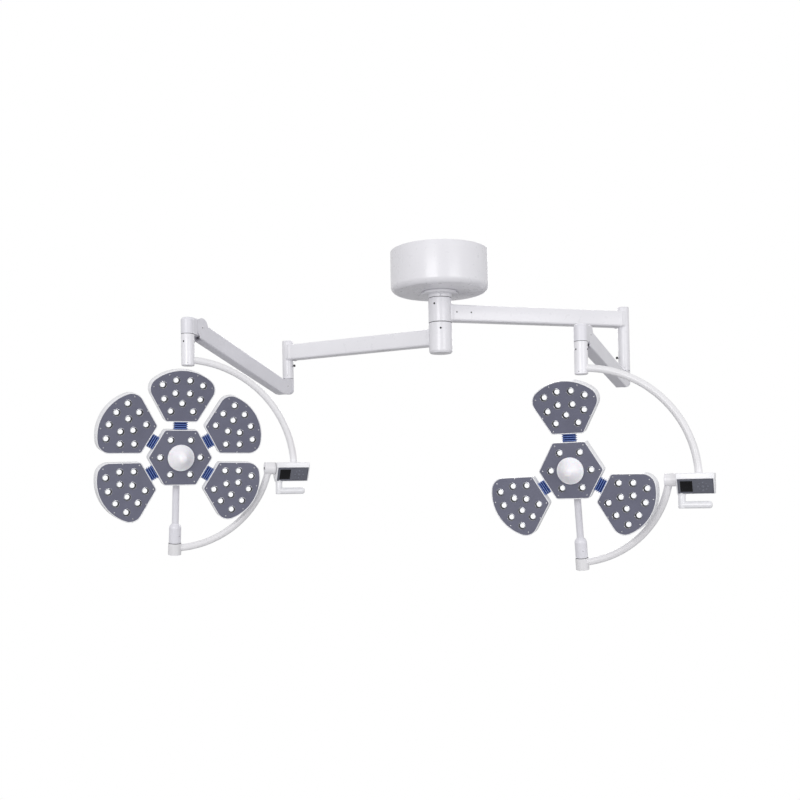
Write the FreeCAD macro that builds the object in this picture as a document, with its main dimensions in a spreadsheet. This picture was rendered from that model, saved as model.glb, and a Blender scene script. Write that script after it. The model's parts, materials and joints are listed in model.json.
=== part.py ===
import FreeCAD, Part
import math
import os

import Sketcher

# Ceiling-mounted surgical light with two heads on one spindle.  All lengths are in millimetres,
# angles in degrees.  Origin: centre of the ceiling face, +Z up.  Arm angles are those at rest.

os.makedirs("parts", exist_ok=True)
doc = FreeCAD.newDocument("SurgicalLight")
V = FreeCAD.Vector

# ------------------------------------------------------------------ driving dimensions
SIZES = [
    ("canopy_rad", 200, "ceiling cover, outside radius"),
    ("canopy_deep", 168, "ceiling cover, height"),
    ("canopy_wall", 2.5, "ceiling cover, sheet thickness"),
    ("canopy_round", 24, "ceiling cover, radius of the lower edge"),
    ("plate_rad", 130, "ceiling plate, radius"),
    ("plate_thick", 12, "ceiling plate, thickness"),
    ("bolt_circle", 210, "ceiling bolts, pitch circle diameter"),
    ("bolt_rad", 6.5, "ceiling bolts, hole radius"),
    ("hub_rad", 48, "rotating hubs, outside radius"),
    ("hub_bore", 38, "rotating hubs, bore radius"),
    ("spindle_rad", 30, "spindle tube, outside radius"),
    ("collar_low", 192, "fixed collar, bottom below the ceiling"),
    ("hub_split", 293, "seam between the two hubs, below the ceiling"),
    ("hub_low", 418, "lower hub, bottom below the ceiling"),
    ("seam", 1, "gap at each rotating seam"),
    ("beam_wide", 61, "extension arm, width"),
    ("beam_high", 66, "extension arm, height"),
    ("beam_wall", 4, "extension arm, wall"),
    ("beam_round", 8, "extension arm, edge radius"),
    ("drop_rad", 24.5, "drop tube, radius"),
    ("drop_above", 20, "drop tube, height above the arm"),
    ("stem_rad", 16, "swivel stems, radius"),
    ("stem_long", 85, "swivel stems, length"),
    ("running", 0.5, "clearance of hidden swivel stems"),
    ("root_top", 37, "drop tube, bottom above the lift pivot"),
    ("root_ahead", 44, "lift pivot ahead of the drop tube axis"),
    ("arm_long", 663, "spring arm, pivot to pivot"),
    ("nose_ahead", 65, "swivel axis ahead of the front pivot"),
    ("arm_wide", 45, "spring arm, width"),
    ("arm_top", 20, "spring arm, top face above the pivot line"),
    ("arm_low", 44, "spring arm, bottom face below the pivot line"),
    ("arm_wall", 3.5, "spring arm, wall"),
    ("disc_rad", 36, "spring arm, round ends"),
    ("tongue", 36, "width of the tongues between the arm's cheeks"),
    ("link_below", 24, "link rod below the main pivots"),
    ("nose_top", 31, "nose, top above the front pivot"),
    ("nose_seam", 31, "nose, seam below the front pivot"),
    ("swivel_rad", 24.3, "yoke swivel tube, radius"),
    ("swivel_low", 150, "yoke swivel tube, bottom below the front pivot"),
    ("yoke_drop", 532, "yoke centre below the front pivot"),
    ("arc_rad", 405, "upper arc, centreline radius"),
    ("arc_x", -11, "upper arc, centre sideways"),
    ("tube_rad", 13, "arc tubes, radius"),
    ("tube_bore", 10, "arc tubes, bore radius"),
    ("knuckle_in", 281, "tilt knuckle, inner end from the swivel axis"),
    ("box_in", 321, "control box, inner end from the swivel axis"),
    ("box_out", 447, "control box, outer end from the swivel axis"),
    ("knuckle_rad", 23, "tilt knuckle, radius"),
    ("low_arc_rad", 354, "lower arc, centreline radius"),
    ("low_arc_x", -54, "lower arc, centre sideways"),
    ("low_arc_z", 56, "lower arc, centre height"),
    ("post_rad", 12.5, "head post, radius"),
    ("socket_rad", 24, "post socket, radius"),
    ("socket_low", 322, "post socket, bottom below the yoke centre"),
    ("socket_top", 279, "post socket, top below the yoke centre"),
    ("sleeve_rad", 22, "post sleeve, radius"),
    ("head_up", 50, "head centre above the yoke centre"),
    ("head_ahead", 62, "lamp face ahead of the post axis"),
    ("hex_apothem", 98, "hub plate, centre to flat"),
    ("hex_corner", 8, "hub plate, corner radius"),
    ("rim", 3.5, "width of the white rim round each face plate"),
    ("plate_in", 0.3, "gap round each face plate"),
    ("face_thick", 3, "face plates, thickness"),
    ("hub_deep", 40, "hub housing, depth to the dome"),
    ("petal_inner", 135, "petal plate, inner edge from the head centre"),
    ("petal_half", 55, "petal plate, half width of the inner edge"),
    ("petal_side", 60.4, "petal plate, angle of the sides to the inner edge"),
    ("petal_arc", 155, "petal plate, radius of the outer edge"),
    ("petal_mid", 161, "petal plate, centre of the outer edge"),
    ("petal_corner", 42, "petal plate, outer corner radius"),
    ("petal_deep", 45, "petal housing, depth"),
    ("hinge_out", 112, "petal hinge from the head centre"),
    ("hinge_back", 18, "petal hinge behind the face"),
    ("petal_tilt", 5.4, "petals lean forward by"),
    ("lens_rad", 9.3, "lenses, radius"),
    ("cone_rad", 48, "focus handle, base radius"),
    ("cone_high", 48, "focus handle, height"),
    ("grip_rad", 12.5, "side handle, radius"),
    ("grip_drop", 87, "side handle, bar below the yoke centre"),
    ("grip_end", 436, "side handle, bar end from the swivel axis"),
]

sheet = doc.addObject("Spreadsheet::Sheet", "Dims")
for row, (name, value, note) in enumerate(SIZES, 1):
    sheet.set(f"A{row}", name)
    sheet.set(f"B{row}", str(value))
    sheet.setAlias(f"B{row}", name)
    sheet.set(f"C{row}", note)
doc.recompute()

# One entry per side: hub heights, arm lengths, the foot and the lean of the head post, the angles of
# the lower arc between the post and the knuckle, and the joint angles at rest.
SIDES = {
    "left": dict(hub_top=294, hub_low=418, beam_az=155.09, beam_long=757, beam_mid=352, pivot=505,
                 arm_az=250.9, lift=13.6, yoke_az=23.09, pitch=10.0, yaw=7.0,
                 post_x=-52.2, lean=0.92, low_arc=(-89.71, 80.75),
                 petals=(90, 150, 210, 330, 30)),
    "right": dict(hub_top=193, hub_low=293, beam_az=18.32, beam_long=830, beam_mid=253, pivot=513,
                  arm_az=248.33, lift=7.8, yoke_az=-19.05, pitch=10.0, yaw=-3.5,
                  post_x=-20.7, lean=-1.06, low_arc=(-84.6, 75.64),
                  petals=(90, 210, 330)),
}

# Lens centres in a petal and in the hub, as (sideways, outward) from the head centre.
PETAL_LENSES = [(-72, 264), (72, 264), (-25, 281), (25, 281), (-65, 213), (65, 213),
                (-26, 234), (26, 234), (0, 198), (-40, 169), (40, 169)]
PETAL_SCREWS = [(-50, 300), (50, 300), (-104, 257), (104, 257), (-84, 191), (84, 191),
                (-50, 142), (50, 142)]


# ------------------------------------------------------------------ sizes tied to the sheet
class Size:
    """A number together with the sheet expression that drives it."""

    def __init__(self, value, text):
        self.value = float(value)
        self.text = text

    def __add__(self, other):
        other = as_size(other)
        return Size(self.value + other.value, f"({self.text} + {other.text})")

    def __sub__(self, other):
        other = as_size(other)
        return Size(self.value - other.value, f"({self.text} - {other.text})")

    def __rsub__(self, other):
        return as_size(other) - self

    def __mul__(self, factor):
        return Size(self.value * factor, f"({self.text} * ({factor}))")

    def __neg__(self):
        return self * -1

    def __float__(self):
        return self.value

    __radd__ = __add__
    __rmul__ = __mul__


def as_size(number):
    return number if isinstance(number, Size) else Size(number, f"({float(number)})")


class Sheet:
    """Gives S.name for each sheet entry."""

    def __getattr__(self, name):
        return Size(sheet.get(name), f"Dims.{name}")


S = Sheet()


def bind(thing, prop, size):
    """Sets a property and, for a sheet size, ties it to the sheet."""
    setattr(thing, prop, float(size))
    if isinstance(size, Size):
        thing.setExpression(prop, size.text)


# ------------------------------------------------------------------ sketches and features
def new_body(label, many_solids=False):
    body = doc.addObject("PartDesign::Body", label)
    body.Label = label
    if many_solids:
        body.AllowCompound = True
    return body


def sketch_on(body, plane, offset=0.0):
    sketch = body.newObject("Sketcher::SketchObject", body.Name + "_sketch")
    planes = {feature.Role: feature for feature in body.Origin.OriginFeatures}
    sketch.AttachmentSupport = [(planes[plane], "")]
    sketch.MapMode = "FlatFace"
    sketch.AttachmentOffset = FreeCAD.Placement(V(0, 0, float(offset)), FreeCAD.Rotation())
    if isinstance(offset, Size):
        sketch.setExpression("AttachmentOffset.Base.z", offset.text)
    return sketch


def fix_point(sketch, geometry, end, x, y):
    """Ties a point of a sketch to its distances from the sketch origin."""
    for kind, size, axis in (("DistanceX", x, -2), ("DistanceY", y, -1)):
        if float(size) == 0:
            sketch.addConstraint(Sketcher.Constraint("PointOnObject", geometry, end, axis))
            continue
        rule = Sketcher.Constraint(kind, -1, 1, geometry, end, float(size))
        index = sketch.addConstraint(rule)
        if isinstance(size, Size):
            sketch.setExpression(f"Constraints[{index}]", size.text)


def outline(sketch, points):
    """Closed outline with straight sides."""
    first = sketch.GeometryCount
    count = len(points)
    for here, there in zip(points, points[1:] + points[:1]):
        start = V(float(here[0]), float(here[1]), 0)
        finish = V(float(there[0]), float(there[1]), 0)
        sketch.addGeometry(Part.LineSegment(start, finish), False)
    for i in range(count):
        nxt = first + (i + 1) % count
        sketch.addConstraint(Sketcher.Constraint("Coincident", first + i, 2, nxt, 1))
    for i, (x, y) in enumerate(points):
        fix_point(sketch, first + i, 1, x, y)


def circle(sketch, x, y, radius):
    centre = V(float(x), float(y), 0)
    index = sketch.addGeometry(Part.Circle(centre, V(0, 0, 1), float(radius)), False)
    fix_point(sketch, index, 3, x, y)
    rule = sketch.addConstraint(Sketcher.Constraint("Radius", index, float(radius)))
    if isinstance(radius, Size):
        sketch.setExpression(f"Constraints[{rule}]", radius.text)


def rectangle(sketch, x0, y0, x1, y1):
    outline(sketch, [(x0, y0), (x1, y0), (x1, y1), (x0, y1)])


def pad(body, sketch, length, symmetric=False, back=False):
    feature = body.newObject("PartDesign::Pad", body.Name + "_pad")
    feature.Profile = sketch
    bind(feature, "Length", length)
    feature.SideType = "Symmetric" if symmetric else "One side"
    feature.Reversed = back
    return feature


def pocket(body, sketch, length, symmetric=False, back=False):
    feature = body.newObject("PartDesign::Pocket", body.Name + "_pocket")
    feature.Profile = sketch
    bind(feature, "Length", length)
    feature.SideType = "Symmetric" if symmetric else "One side"
    feature.Reversed = back
    return feature


def turn(body, profile, kind="Revolution"):
    """Turns an (r, z) profile about the body's Z axis."""
    sketch = sketch_on(body, "XZ_Plane")
    outline(sketch, profile)
    feature = body.newObject("PartDesign::" + kind, body.Name + "_turned")
    feature.Profile = sketch
    feature.ReferenceAxis = (sketch, ["V_Axis"])
    feature.Angle = 360
    return feature


def round_edges(body, radius, wanted):
    """Fillets the edges of the body's tip that pass the test."""
    doc.recompute()
    tip = body.Tip
    names = [f"Edge{i}" for i, edge in enumerate(tip.Shape.Edges, 1) if wanted(edge)]
    feature = body.newObject("PartDesign::Fillet", body.Name + "_round")
    feature.Base = (tip, names)
    bind(feature, "Radius", radius)
    doc.recompute()
    return feature


def is_upright(edge):
    """True for a straight edge along Z."""
    box = edge.BoundBox
    return box.XLength < 0.01 and box.YLength < 0.01 and box.ZLength > 1


def is_along_x(edge):
    box = edge.BoundBox
    return box.YLength < 0.01 and box.ZLength < 0.01 and box.XLength > 1


def at_height(edge, z):
    box = edge.BoundBox
    return box.ZLength < 0.01 and abs(box.ZMin - float(z)) < 0.01


def primitive(kind, label, sizes, at=(0, 0, 0), turn_axis=V(0, 0, 1), angle=0.0):
    """A Part primitive with its sizes and place tied to the sheet."""
    thing = doc.addObject("Part::" + kind, label)
    for prop, size in sizes.items():
        bind(thing, prop, size)
    base = V(*[float(part) for part in at])
    thing.Placement = FreeCAD.Placement(base, FreeCAD.Rotation(turn_axis, angle))
    for letter, part in zip("xyz", at):
        if isinstance(part, Size):
            thing.setExpression("Placement.Base." + letter, part.text)
    return thing


def boolean(kind, label, first, second):
    """Part::MultiFuse of the first shape with a list, or Part::Cut of the first by the second."""
    thing = doc.addObject("Part::" + kind, label)
    thing.Label = label
    if kind == "MultiFuse":
        thing.Shapes = [first] + list(second)
    else:
        thing.Base = first
        thing.Tool = second
    return thing


def group(label, members):
    thing = doc.addObject("Part::Compound", label)
    thing.Label = label
    thing.Links = members
    return thing


NODES = []


def node(thing, label, place=FreeCAD.Placement()):
    """Registers a finished sub-part under its file name and puts it in its place."""
    thing.Label = label
    thing.Placement = place
    NODES.append(thing)


def rotation(axis, angle):
    return FreeCAD.Placement(V(0, 0, 0), FreeCAD.Rotation(V(*axis), angle))


def move(x, y, z):
    return FreeCAD.Placement(V(float(x), float(y), float(z)), FreeCAD.Rotation())


# ------------------------------------------------------------------ ceiling parts
def ceiling_parts():
    plate = new_body("ceiling_plate")
    sketch = sketch_on(plate, "XY_Plane")
    circle(sketch, 0, 0, S.plate_rad)
    circle(sketch, 0, 0, 24)
    pad(plate, sketch, S.plate_thick, back=True)
    holes = sketch_on(plate, "XY_Plane")
    circle(holes, S.bolt_circle * 0.5, 0, S.bolt_rad)
    hole = pocket(plate, holes, S.plate_thick * 3, symmetric=True)
    ring = plate.newObject("PartDesign::PolarPattern", "bolt_ring")
    ring.Originals = [hole]
    ring.Axis = (holes, ["N_Axis"])
    ring.Angle = 360
    ring.Occurrences = 6
    plate.Tip = ring
    node(plate, "ceiling_plate")

    canopy = new_body("ceiling_canopy")
    out, wall, deep = S.canopy_rad, S.canopy_wall, S.canopy_deep
    bend = S.canopy_round
    outside = arc(bend, 0, -90, 8, out - bend, bend - deep)
    inside = arc(bend - wall, -90, 0, 8, out - bend, bend - deep)
    turn(canopy, [(out, -2)] + outside + [(34, -deep), (34, wall - deep)] + inside
         + [(out - wall, -2)])
    node(canopy, "ceiling_canopy")

    collar = new_body("canopy_collar")
    low = S.collar_low
    turn(collar, [(34, -deep - 0.2), (74, -deep - 0.2), (76, -deep - 2), (76, -deep - 9), (74, -deep - 11),
                  (S.hub_rad + 1, -deep - 11), (S.hub_rad, -deep - 12), (S.hub_rad, -low),
                  (34, -low)])
    screw = sketch_on(collar, "XZ_Plane", S.hub_rad + 4)
    circle(screw, 0, -deep - 17, 3)
    pocket(collar, screw, 8, back=True)
    node(collar, "canopy_collar")

    units = new_body("power_units", many_solids=True)
    sketch = sketch_on(units, "XY_Plane", -S.plate_thick - 20)
    for side in (-1, 1):
        rectangle(sketch, -75, side * 60, 75, side * 115)
    pad(units, sketch, 70, back=True)
    feet = sketch_on(units, "XY_Plane", -S.plate_thick)
    for side in (-1, 1):
        for x in (-55, 55):
            circle(feet, x, side * 85, 6)
    pad(units, feet, 20, back=True)
    node(units, "power_units")

    spindle = new_body("ceiling_spindle")
    rad = S.spindle_rad
    top = -S.plate_thick
    turn(spindle, [(22, top), (75, top), (75, top - 12), (rad + 8, top - 14), (rad, top - 26),
                   (rad, 8 - S.hub_low), (22, 8 - S.hub_low)])
    node(spindle, "ceiling_spindle")

    bushes = new_body("spindle_bushes", many_solids=True)
    gap = 0.4
    for high, low in ((-196, -222), (-262, -289), (-297, -323), (-378, -405)):
        sketch = sketch_on(bushes, "XY_Plane", high)
        circle(sketch, 0, 0, S.hub_bore - gap)
        circle(sketch, 0, 0, S.spindle_rad)
        pad(bushes, sketch, high - low, back=True)
    node(bushes, "spindle_bushes")


# ------------------------------------------------------------------ extension arm
def extension_arm(side, data):
    place = rotation((0, 0, 1), data["beam_az"])
    hub = new_body(side + "_arm_hub")
    top, low = -data["hub_top"], -data["hub_low"]
    if side == "left":
        profile = [(S.hub_bore, top), (S.hub_rad, top), (S.hub_rad, low + 8), (S.hub_rad - 5, low),
                   (0, low), (0, low + 5), (S.hub_bore, low + 5)]
    else:
        profile = [(S.hub_bore, top), (S.hub_rad, top), (S.hub_rad, low), (S.hub_bore, low)]
    turn(hub, profile)
    node(hub, side + "_arm_hub", place)

    long = data["beam_long"]
    mid = -data["beam_mid"]
    beam = new_body(side + "_beam")
    sketch = sketch_on(beam, "YZ_Plane", 30)
    half, high = S.beam_wide * 0.5, S.beam_high * 0.5
    rectangle(sketch, -half, mid - high, half, mid + high)
    pad(beam, sketch, long - 38)
    round_edges(beam, S.beam_round, is_along_x)
    inside = sketch_on(beam, "YZ_Plane", 60)
    half, high = half - S.beam_wall, high - S.beam_wall
    rectangle(inside, -half, mid - high, half, mid + high)
    pocket(beam, inside, long - 120, back=True)
    ends = sketch_on(beam, "XY_Plane", mid - 60)
    circle(ends, 0, 0, S.hub_rad)
    circle(ends, long, 0, S.drop_rad)
    pocket(beam, ends, 120, back=True)

    drop = new_body(side + "_drop")
    head = mid + S.beam_high * 0.5 + S.drop_above
    foot = S.root_top - data["pivot"]
    bore = S.stem_rad + S.running
    turn(drop, [(bore, foot), (S.drop_rad - 1, foot), (S.drop_rad, foot + 1), (S.drop_rad, head - 5),
                (S.drop_rad - 2, head - 4), (bore, head - 4)])
    drop.Placement = move(long, 0, 0)
    cap = new_body(side + "_cap")
    turn(cap, [(0, head - 12), (bore - 0.2, head - 12), (bore - 0.2, head - 4), (S.drop_rad - 1, head - 4),
               (S.drop_rad - 1, head - 1.5), (S.drop_rad - 4, head), (0, head)])
    cap.Placement = move(long, 0, 0)
    stop = new_body(side + "_brake")
    sketch = sketch_on(stop, "XZ_Plane", S.drop_rad)
    circle(sketch, 0, foot + 57, 4)
    pad(stop, sketch, 12)
    knob = sketch_on(stop, "XZ_Plane", S.drop_rad + 7)
    circle(knob, 0, foot + 57, 6.5)
    pad(stop, knob, 6)
    stop.Placement = move(long, 0, 0) * rotation((0, 0, 1), -90)
    node(group(side + "_extension_arm", [beam, drop, cap, stop]), side + "_extension_arm", place)


# ------------------------------------------------------------------ spring arm
def arc(radius, start, finish, steps, x=0, z=0):
    """Points along an arc, with the radius tied to the sheet."""
    points = []
    for i in range(steps + 1):
        angle = math.radians(start + (finish - start) * i / steps)
        points.append((radius * math.cos(angle) + x, radius * math.sin(angle) + z))
    return points


def arm_frames(data):
    """Frames at the lift pivot, along the lifted arm, at the front pivot and at the yoke centre."""
    drop = rotation((0, 0, 1), data["beam_az"]) * move(data["beam_long"], 0, 0)
    heading = rotation((0, 0, 1), data["arm_az"])
    root = move(drop.Base.x, drop.Base.y, -data["pivot"]) * heading * move(S.root_ahead, 0, 0)
    lifted = root * rotation((0, 1, 0), -data["lift"])
    tip = lifted * move(S.arm_long, 0, 0)
    front = FreeCAD.Placement(tip.Base, heading.Rotation)
    centre = (front * move(S.nose_ahead, 0, -S.yoke_drop)).Base
    yoke = FreeCAD.Placement(centre, rotation((0, 0, 1), data["yoke_az"]).Rotation)
    return root, lifted, front, yoke


def tongue(body, neck, high, slot):
    """Adds the part that sits between the arm's cheeks, with its slot for the link rod."""
    wide = S.tongue - 0.8
    disc = sketch_on(body, "XZ_Plane")
    circle(disc, 0, 0, S.disc_rad - 5)
    pad(body, disc, wide, symmetric=True)
    joint = sketch_on(body, "XZ_Plane")
    rectangle(joint, neck[0], -12, neck[1], high)
    pad(body, joint, wide, symmetric=True)
    gap = sketch_on(body, "XZ_Plane")
    outline(gap, slot)
    pocket(body, gap, 10, symmetric=True)
    bore = sketch_on(body, "XZ_Plane")
    circle(bore, 0, 0, 6.3)
    pocket(body, bore, 80, symmetric=True)
    pin = sketch_on(body, "XZ_Plane")
    circle(pin, 0, -S.link_below, 3.5)
    pad(body, pin, wide, symmetric=True)


def root_knuckle(side, place):
    body = new_body(side + "_root_knuckle")
    back = -S.root_ahead
    clear = S.disc_rad + 0.8
    stem = sketch_on(body, "XY_Plane", -32)
    circle(stem, back, 0, S.drop_rad)
    pad(body, stem, S.root_top - S.seam + 32)
    round_edges(body, 20, lambda edge: at_height(edge, -32))
    block = sketch_on(body, "XZ_Plane")
    outline(block, [(back, -11), (-34.8, -11)] + arc(clear, 196, 102, 10)
            + [(back, S.root_top - S.seam)])
    pad(body, block, S.arm_wide, symmetric=True)
    seat = sketch_on(body, "XZ_Plane")
    circle(seat, 0, 0, clear)
    pocket(body, seat, 60, symmetric=True)
    front = sketch_on(body, "XZ_Plane")
    rectangle(front, -29, -33, -15, 0)
    pocket(body, front, 60, symmetric=True)
    tongue(body, (back, -15), 28, [(-8.5, -60), (-8.5, -15.5), (0, -15.5), (45, 6), (60, 6), (60, -60)])
    spigot = sketch_on(body, "XY_Plane", S.root_top - S.seam)
    circle(spigot, back, 0, S.stem_rad)
    pad(body, spigot, S.stem_long)
    node(body, side + "_root_knuckle", place)


def nose(side, place):
    body = new_body(side + "_nose")
    ahead = S.nose_ahead
    clear = S.disc_rad + 0.8
    top, low = S.nose_top, -S.nose_seam
    front = sketch_on(body, "XY_Plane", low)
    circle(front, ahead, 0, S.swivel_rad)
    pad(body, front, top - low)
    round_edges(body, 13, lambda edge: at_height(edge, top))
    block = sketch_on(body, "XZ_Plane")
    outline(block, [(ahead, low), (33, low)] + arc(clear, -26, 56, 8) + [(20.6, top), (ahead, top)])
    pad(body, block, S.arm_wide, symmetric=True)
    round_edges(body, 6, lambda edge: is_along_x(edge) and at_height(edge, top))
    tongue(body, (4, ahead - 5), top - 0.5,
           [(8.5, -60), (8.5, -15.5), (2.8, -15.5), (-40, 27.3), (-60, 27.3), (-60, -60)])
    spigot = sketch_on(body, "XY_Plane", low)
    circle(spigot, ahead, 0, S.stem_rad)
    pad(body, spigot, S.stem_long, back=True)
    node(body, side + "_nose", place)


def spring_arm(side, place):
    body = new_body(side + "_spring_arm")
    long, top, low = S.arm_long, S.arm_top, -S.arm_low
    shell = sketch_on(body, "XZ_Plane")
    outline(shell, [(0, top), (0, -5), (-8.6, -34.9), (28, low), (long + 6, low), (long + 6, 0),
                    (long, top)])
    pad(body, shell, S.arm_wide, symmetric=True)
    round_edges(body, 5, is_along_x)
    discs = sketch_on(body, "XZ_Plane")
    circle(discs, 0, 0, S.disc_rad)
    pad(body, discs, S.arm_wide, symmetric=True)
    discs = sketch_on(body, "XZ_Plane")
    circle(discs, long, 0, S.disc_rad)
    pad(body, discs, S.arm_wide, symmetric=True)
    for x in (0, long):
        hollow = sketch_on(body, "XZ_Plane")
        circle(hollow, x, 0, S.disc_rad - 4)
        pocket(body, hollow, S.tongue, symmetric=True)
    behind = sketch_on(body, "XZ_Plane")
    outline(behind, [(0, 0), (-17, -70), (-80, -70), (-80, 60), (50, 60), (50, 0)])
    pocket(body, behind, S.tongue, symmetric=True)
    for box in ((10, -34, 45, 40), (long - 48, -34, long + 60, 60), (long - 23, -60, long + 60, 60)):
        hollow = sketch_on(body, "XZ_Plane")
        rectangle(hollow, *box)
        pocket(body, hollow, S.tongue, symmetric=True)
    wall = S.arm_wall
    inside = sketch_on(body, "XZ_Plane")
    rectangle(inside, 32, low + wall, long - 30, top - wall)
    pocket(body, inside, S.arm_wide - 2 * wall, symmetric=True)
    pins = sketch_on(body, "XZ_Plane")
    circle(pins, 0, 0, 6)
    circle(pins, long, 0, 6)
    pocket(body, pins, 80, symmetric=True)
    node(body, side + "_spring_arm", place)

    pins = new_body(side + "_arm_pins", many_solids=True)
    for x in (0, long):
        sketch = sketch_on(pins, "XZ_Plane")
        circle(sketch, x, 0, 6)
        pad(pins, sketch, S.arm_wide, symmetric=True)
    node(pins, side + "_arm_pins", place)


def counter_spring(side, place):
    """Compression spring with its guide rod and two end plates, inside the spring arm."""
    spine = Part.makeHelix(9.5, 285, 8)
    wire = Part.Wire([Part.makeCircle(1.8, V(8, 0, 0), V(0, 1, 0))])
    coil = doc.addObject("Part::Feature", side + "_coil")
    coil.Shape = Part.Wire(spine).makePipeShell([wire], True, True)
    coil.Placement = move(92, 0, 4) * rotation((0, 1, 0), 90)
    rod = primitive("Cylinder", side + "_guide", {"Radius": 4, "Height": 350}, (60, 0, 4),
                    V(0, 1, 0), 90)
    plates = []
    for x in (84, 383):
        plates.append(primitive("Cylinder", side + "_end_plate", {"Radius": 11, "Height": 5},
                                (x, 0, 4), V(0, 1, 0), 90))
    held = boolean("MultiFuse", side + "_spring_rod", rod, plates)
    node(group(side + "_counter_spring", [coil, held]), side + "_counter_spring", place)


def link_rod(side, place):
    long = S.arm_long
    rod = primitive("Cylinder", side + "_rod", {"Radius": 4, "Height": long}, (0, 0, 0), V(0, 1, 0), 90)
    eyes = []
    bores = []
    for x in (Size(0, "0"), long):
        eyes.append(primitive("Cylinder", side + "_eye", {"Radius": 7.5, "Height": 9}, (x, 4.5, 0),
                              V(1, 0, 0), 90))
        bores.append(primitive("Cylinder", side + "_bore", {"Radius": 3.8, "Height": 20}, (x, 10, 0),
                               V(1, 0, 0), 90))
    whole = boolean("MultiFuse", side + "_rod_eyes", rod, eyes)
    cutter = group(side + "_bores", bores)
    node(boolean("Cut", side + "_link_rod", whole, cutter), side + "_link_rod", place)


# ------------------------------------------------------------------ yoke
def bent_tube(label, radius, centre, start, sweep):
    """Hollow tube bent to a circular arc in the X-Z plane."""
    turn_up = FreeCAD.Rotation(V(1, 0, 0), 90) * FreeCAD.Rotation(V(0, 0, 1), start)
    rings = []
    for part, tube in (("outer", S.tube_rad), ("inner", S.tube_bore)):
        ring = primitive("Torus", label + "_" + part, {"Radius1": radius, "Radius2": tube, "Angle3": sweep})
        ring.Placement = FreeCAD.Placement(V(float(centre[0]), 0, float(centre[1])), turn_up)
        rings.append(ring)
    return rings


def yoke(side, place):
    top = S.yoke_drop - S.nose_seam - S.seam
    foot = S.yoke_drop - S.swivel_low
    bore = S.stem_rad + S.running
    deep = S.yoke_drop - S.nose_seam - S.stem_long - 4
    tube = new_body(side + "_swivel_tube")
    turn(tube, [(bore, top), (S.swivel_rad, top), (S.swivel_rad, foot + 3), (S.swivel_rad - 3, foot),
                (0, foot), (0, deep), (bore, deep)])
    node(tube, side + "_swivel_tube", place)

    outer, inner = bent_tube(side + "_bend", S.arc_rad, (S.arc_x, 0), 0, 90)
    stub = primitive("Cylinder", side + "_bend_stop", {"Radius": S.swivel_rad, "Height": 200}, (0, 0, 300))
    block = primitive("Box", side + "_bend_end", {"Length": 80, "Width": 80, "Height": 61},
                      (354, -40, -40))
    cutter = boolean("MultiFuse", side + "_bend_cut", inner, [stub, block])
    node(boolean("Cut", side + "_upper_arc", outer, cutter), side + "_upper_arc", place)

    box = new_body(side + "_control_box")
    case = sketch_on(box, "YZ_Plane", S.box_in)
    outline(case, [(-42, 21), (-42, 2), (-5, -50), (20, -50), (38, -30), (38, 21)])
    pad(box, case, S.box_out - S.box_in)
    round_edges(box, 3, is_along_x)
    recess = sketch_on(box, "YZ_Plane", S.box_in + 6)
    outline(recess, slab(1.6, 62.2, 1.6, -8))
    pocket(box, recess, S.box_out - S.box_in - 12, back=True)
    cavity = sketch_on(box, "YZ_Plane", S.box_in + 12)
    outline(cavity, [(-34, 12), (-34, -3), (-8, -40), (16, -44), (32, -27), (32, 12)])
    pocket(box, cavity, S.box_out - S.box_in - 24, back=True)
    window = sketch_on(box, "YZ_Plane", S.box_in + 12)
    outline(window, slab(7, 57, 12, -8))
    pocket(box, window, S.box_out - S.box_in - 24, back=True)
    pivot = sketch_on(box, "YZ_Plane", S.knuckle_in + 6)
    circle(pivot, 0, 0, 10)
    pad(box, pivot, S.box_in - S.knuckle_in - 6)
    node(box, side + "_control_box", place)
    control_panel(side, place)

    grip = S.grip_rad
    drop = S.grip_drop
    leg = primitive("Cylinder", side + "_grip_leg", {"Radius": grip, "Height": drop - 50},
                    (S.box_in + 15, 7, -drop))
    bend = primitive("Sphere", side + "_grip_bend", {"Radius": grip}, (S.box_in + 15, 7, -drop))
    bar = primitive("Cylinder", side + "_grip_bar",
                    {"Radius": grip, "Height": S.grip_end - S.box_in - 15 - grip},
                    (S.box_in + 15, 7, -drop), V(0, 1, 0), 90)
    tip = primitive("Sphere", side + "_grip_tip", {"Radius": grip}, (S.grip_end - grip, 7, -drop))
    node(boolean("MultiFuse", side + "_grip_handle", leg, [bend, bar, tip]), side + "_grip_handle", place)


def slab(start, finish, inward, outward):
    """Outline of a slab lying on the slanted front of the control box, in its end view."""
    along = (0.5797, -0.8148)
    into = (0.8148, 0.5797)
    points = []
    for run, depth in ((start, outward), (finish, outward), (finish, inward), (start, inward)):
        points.append((-42 + run * along[0] + depth * into[0], 2 + run * along[1] + depth * into[1]))
    return points


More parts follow.
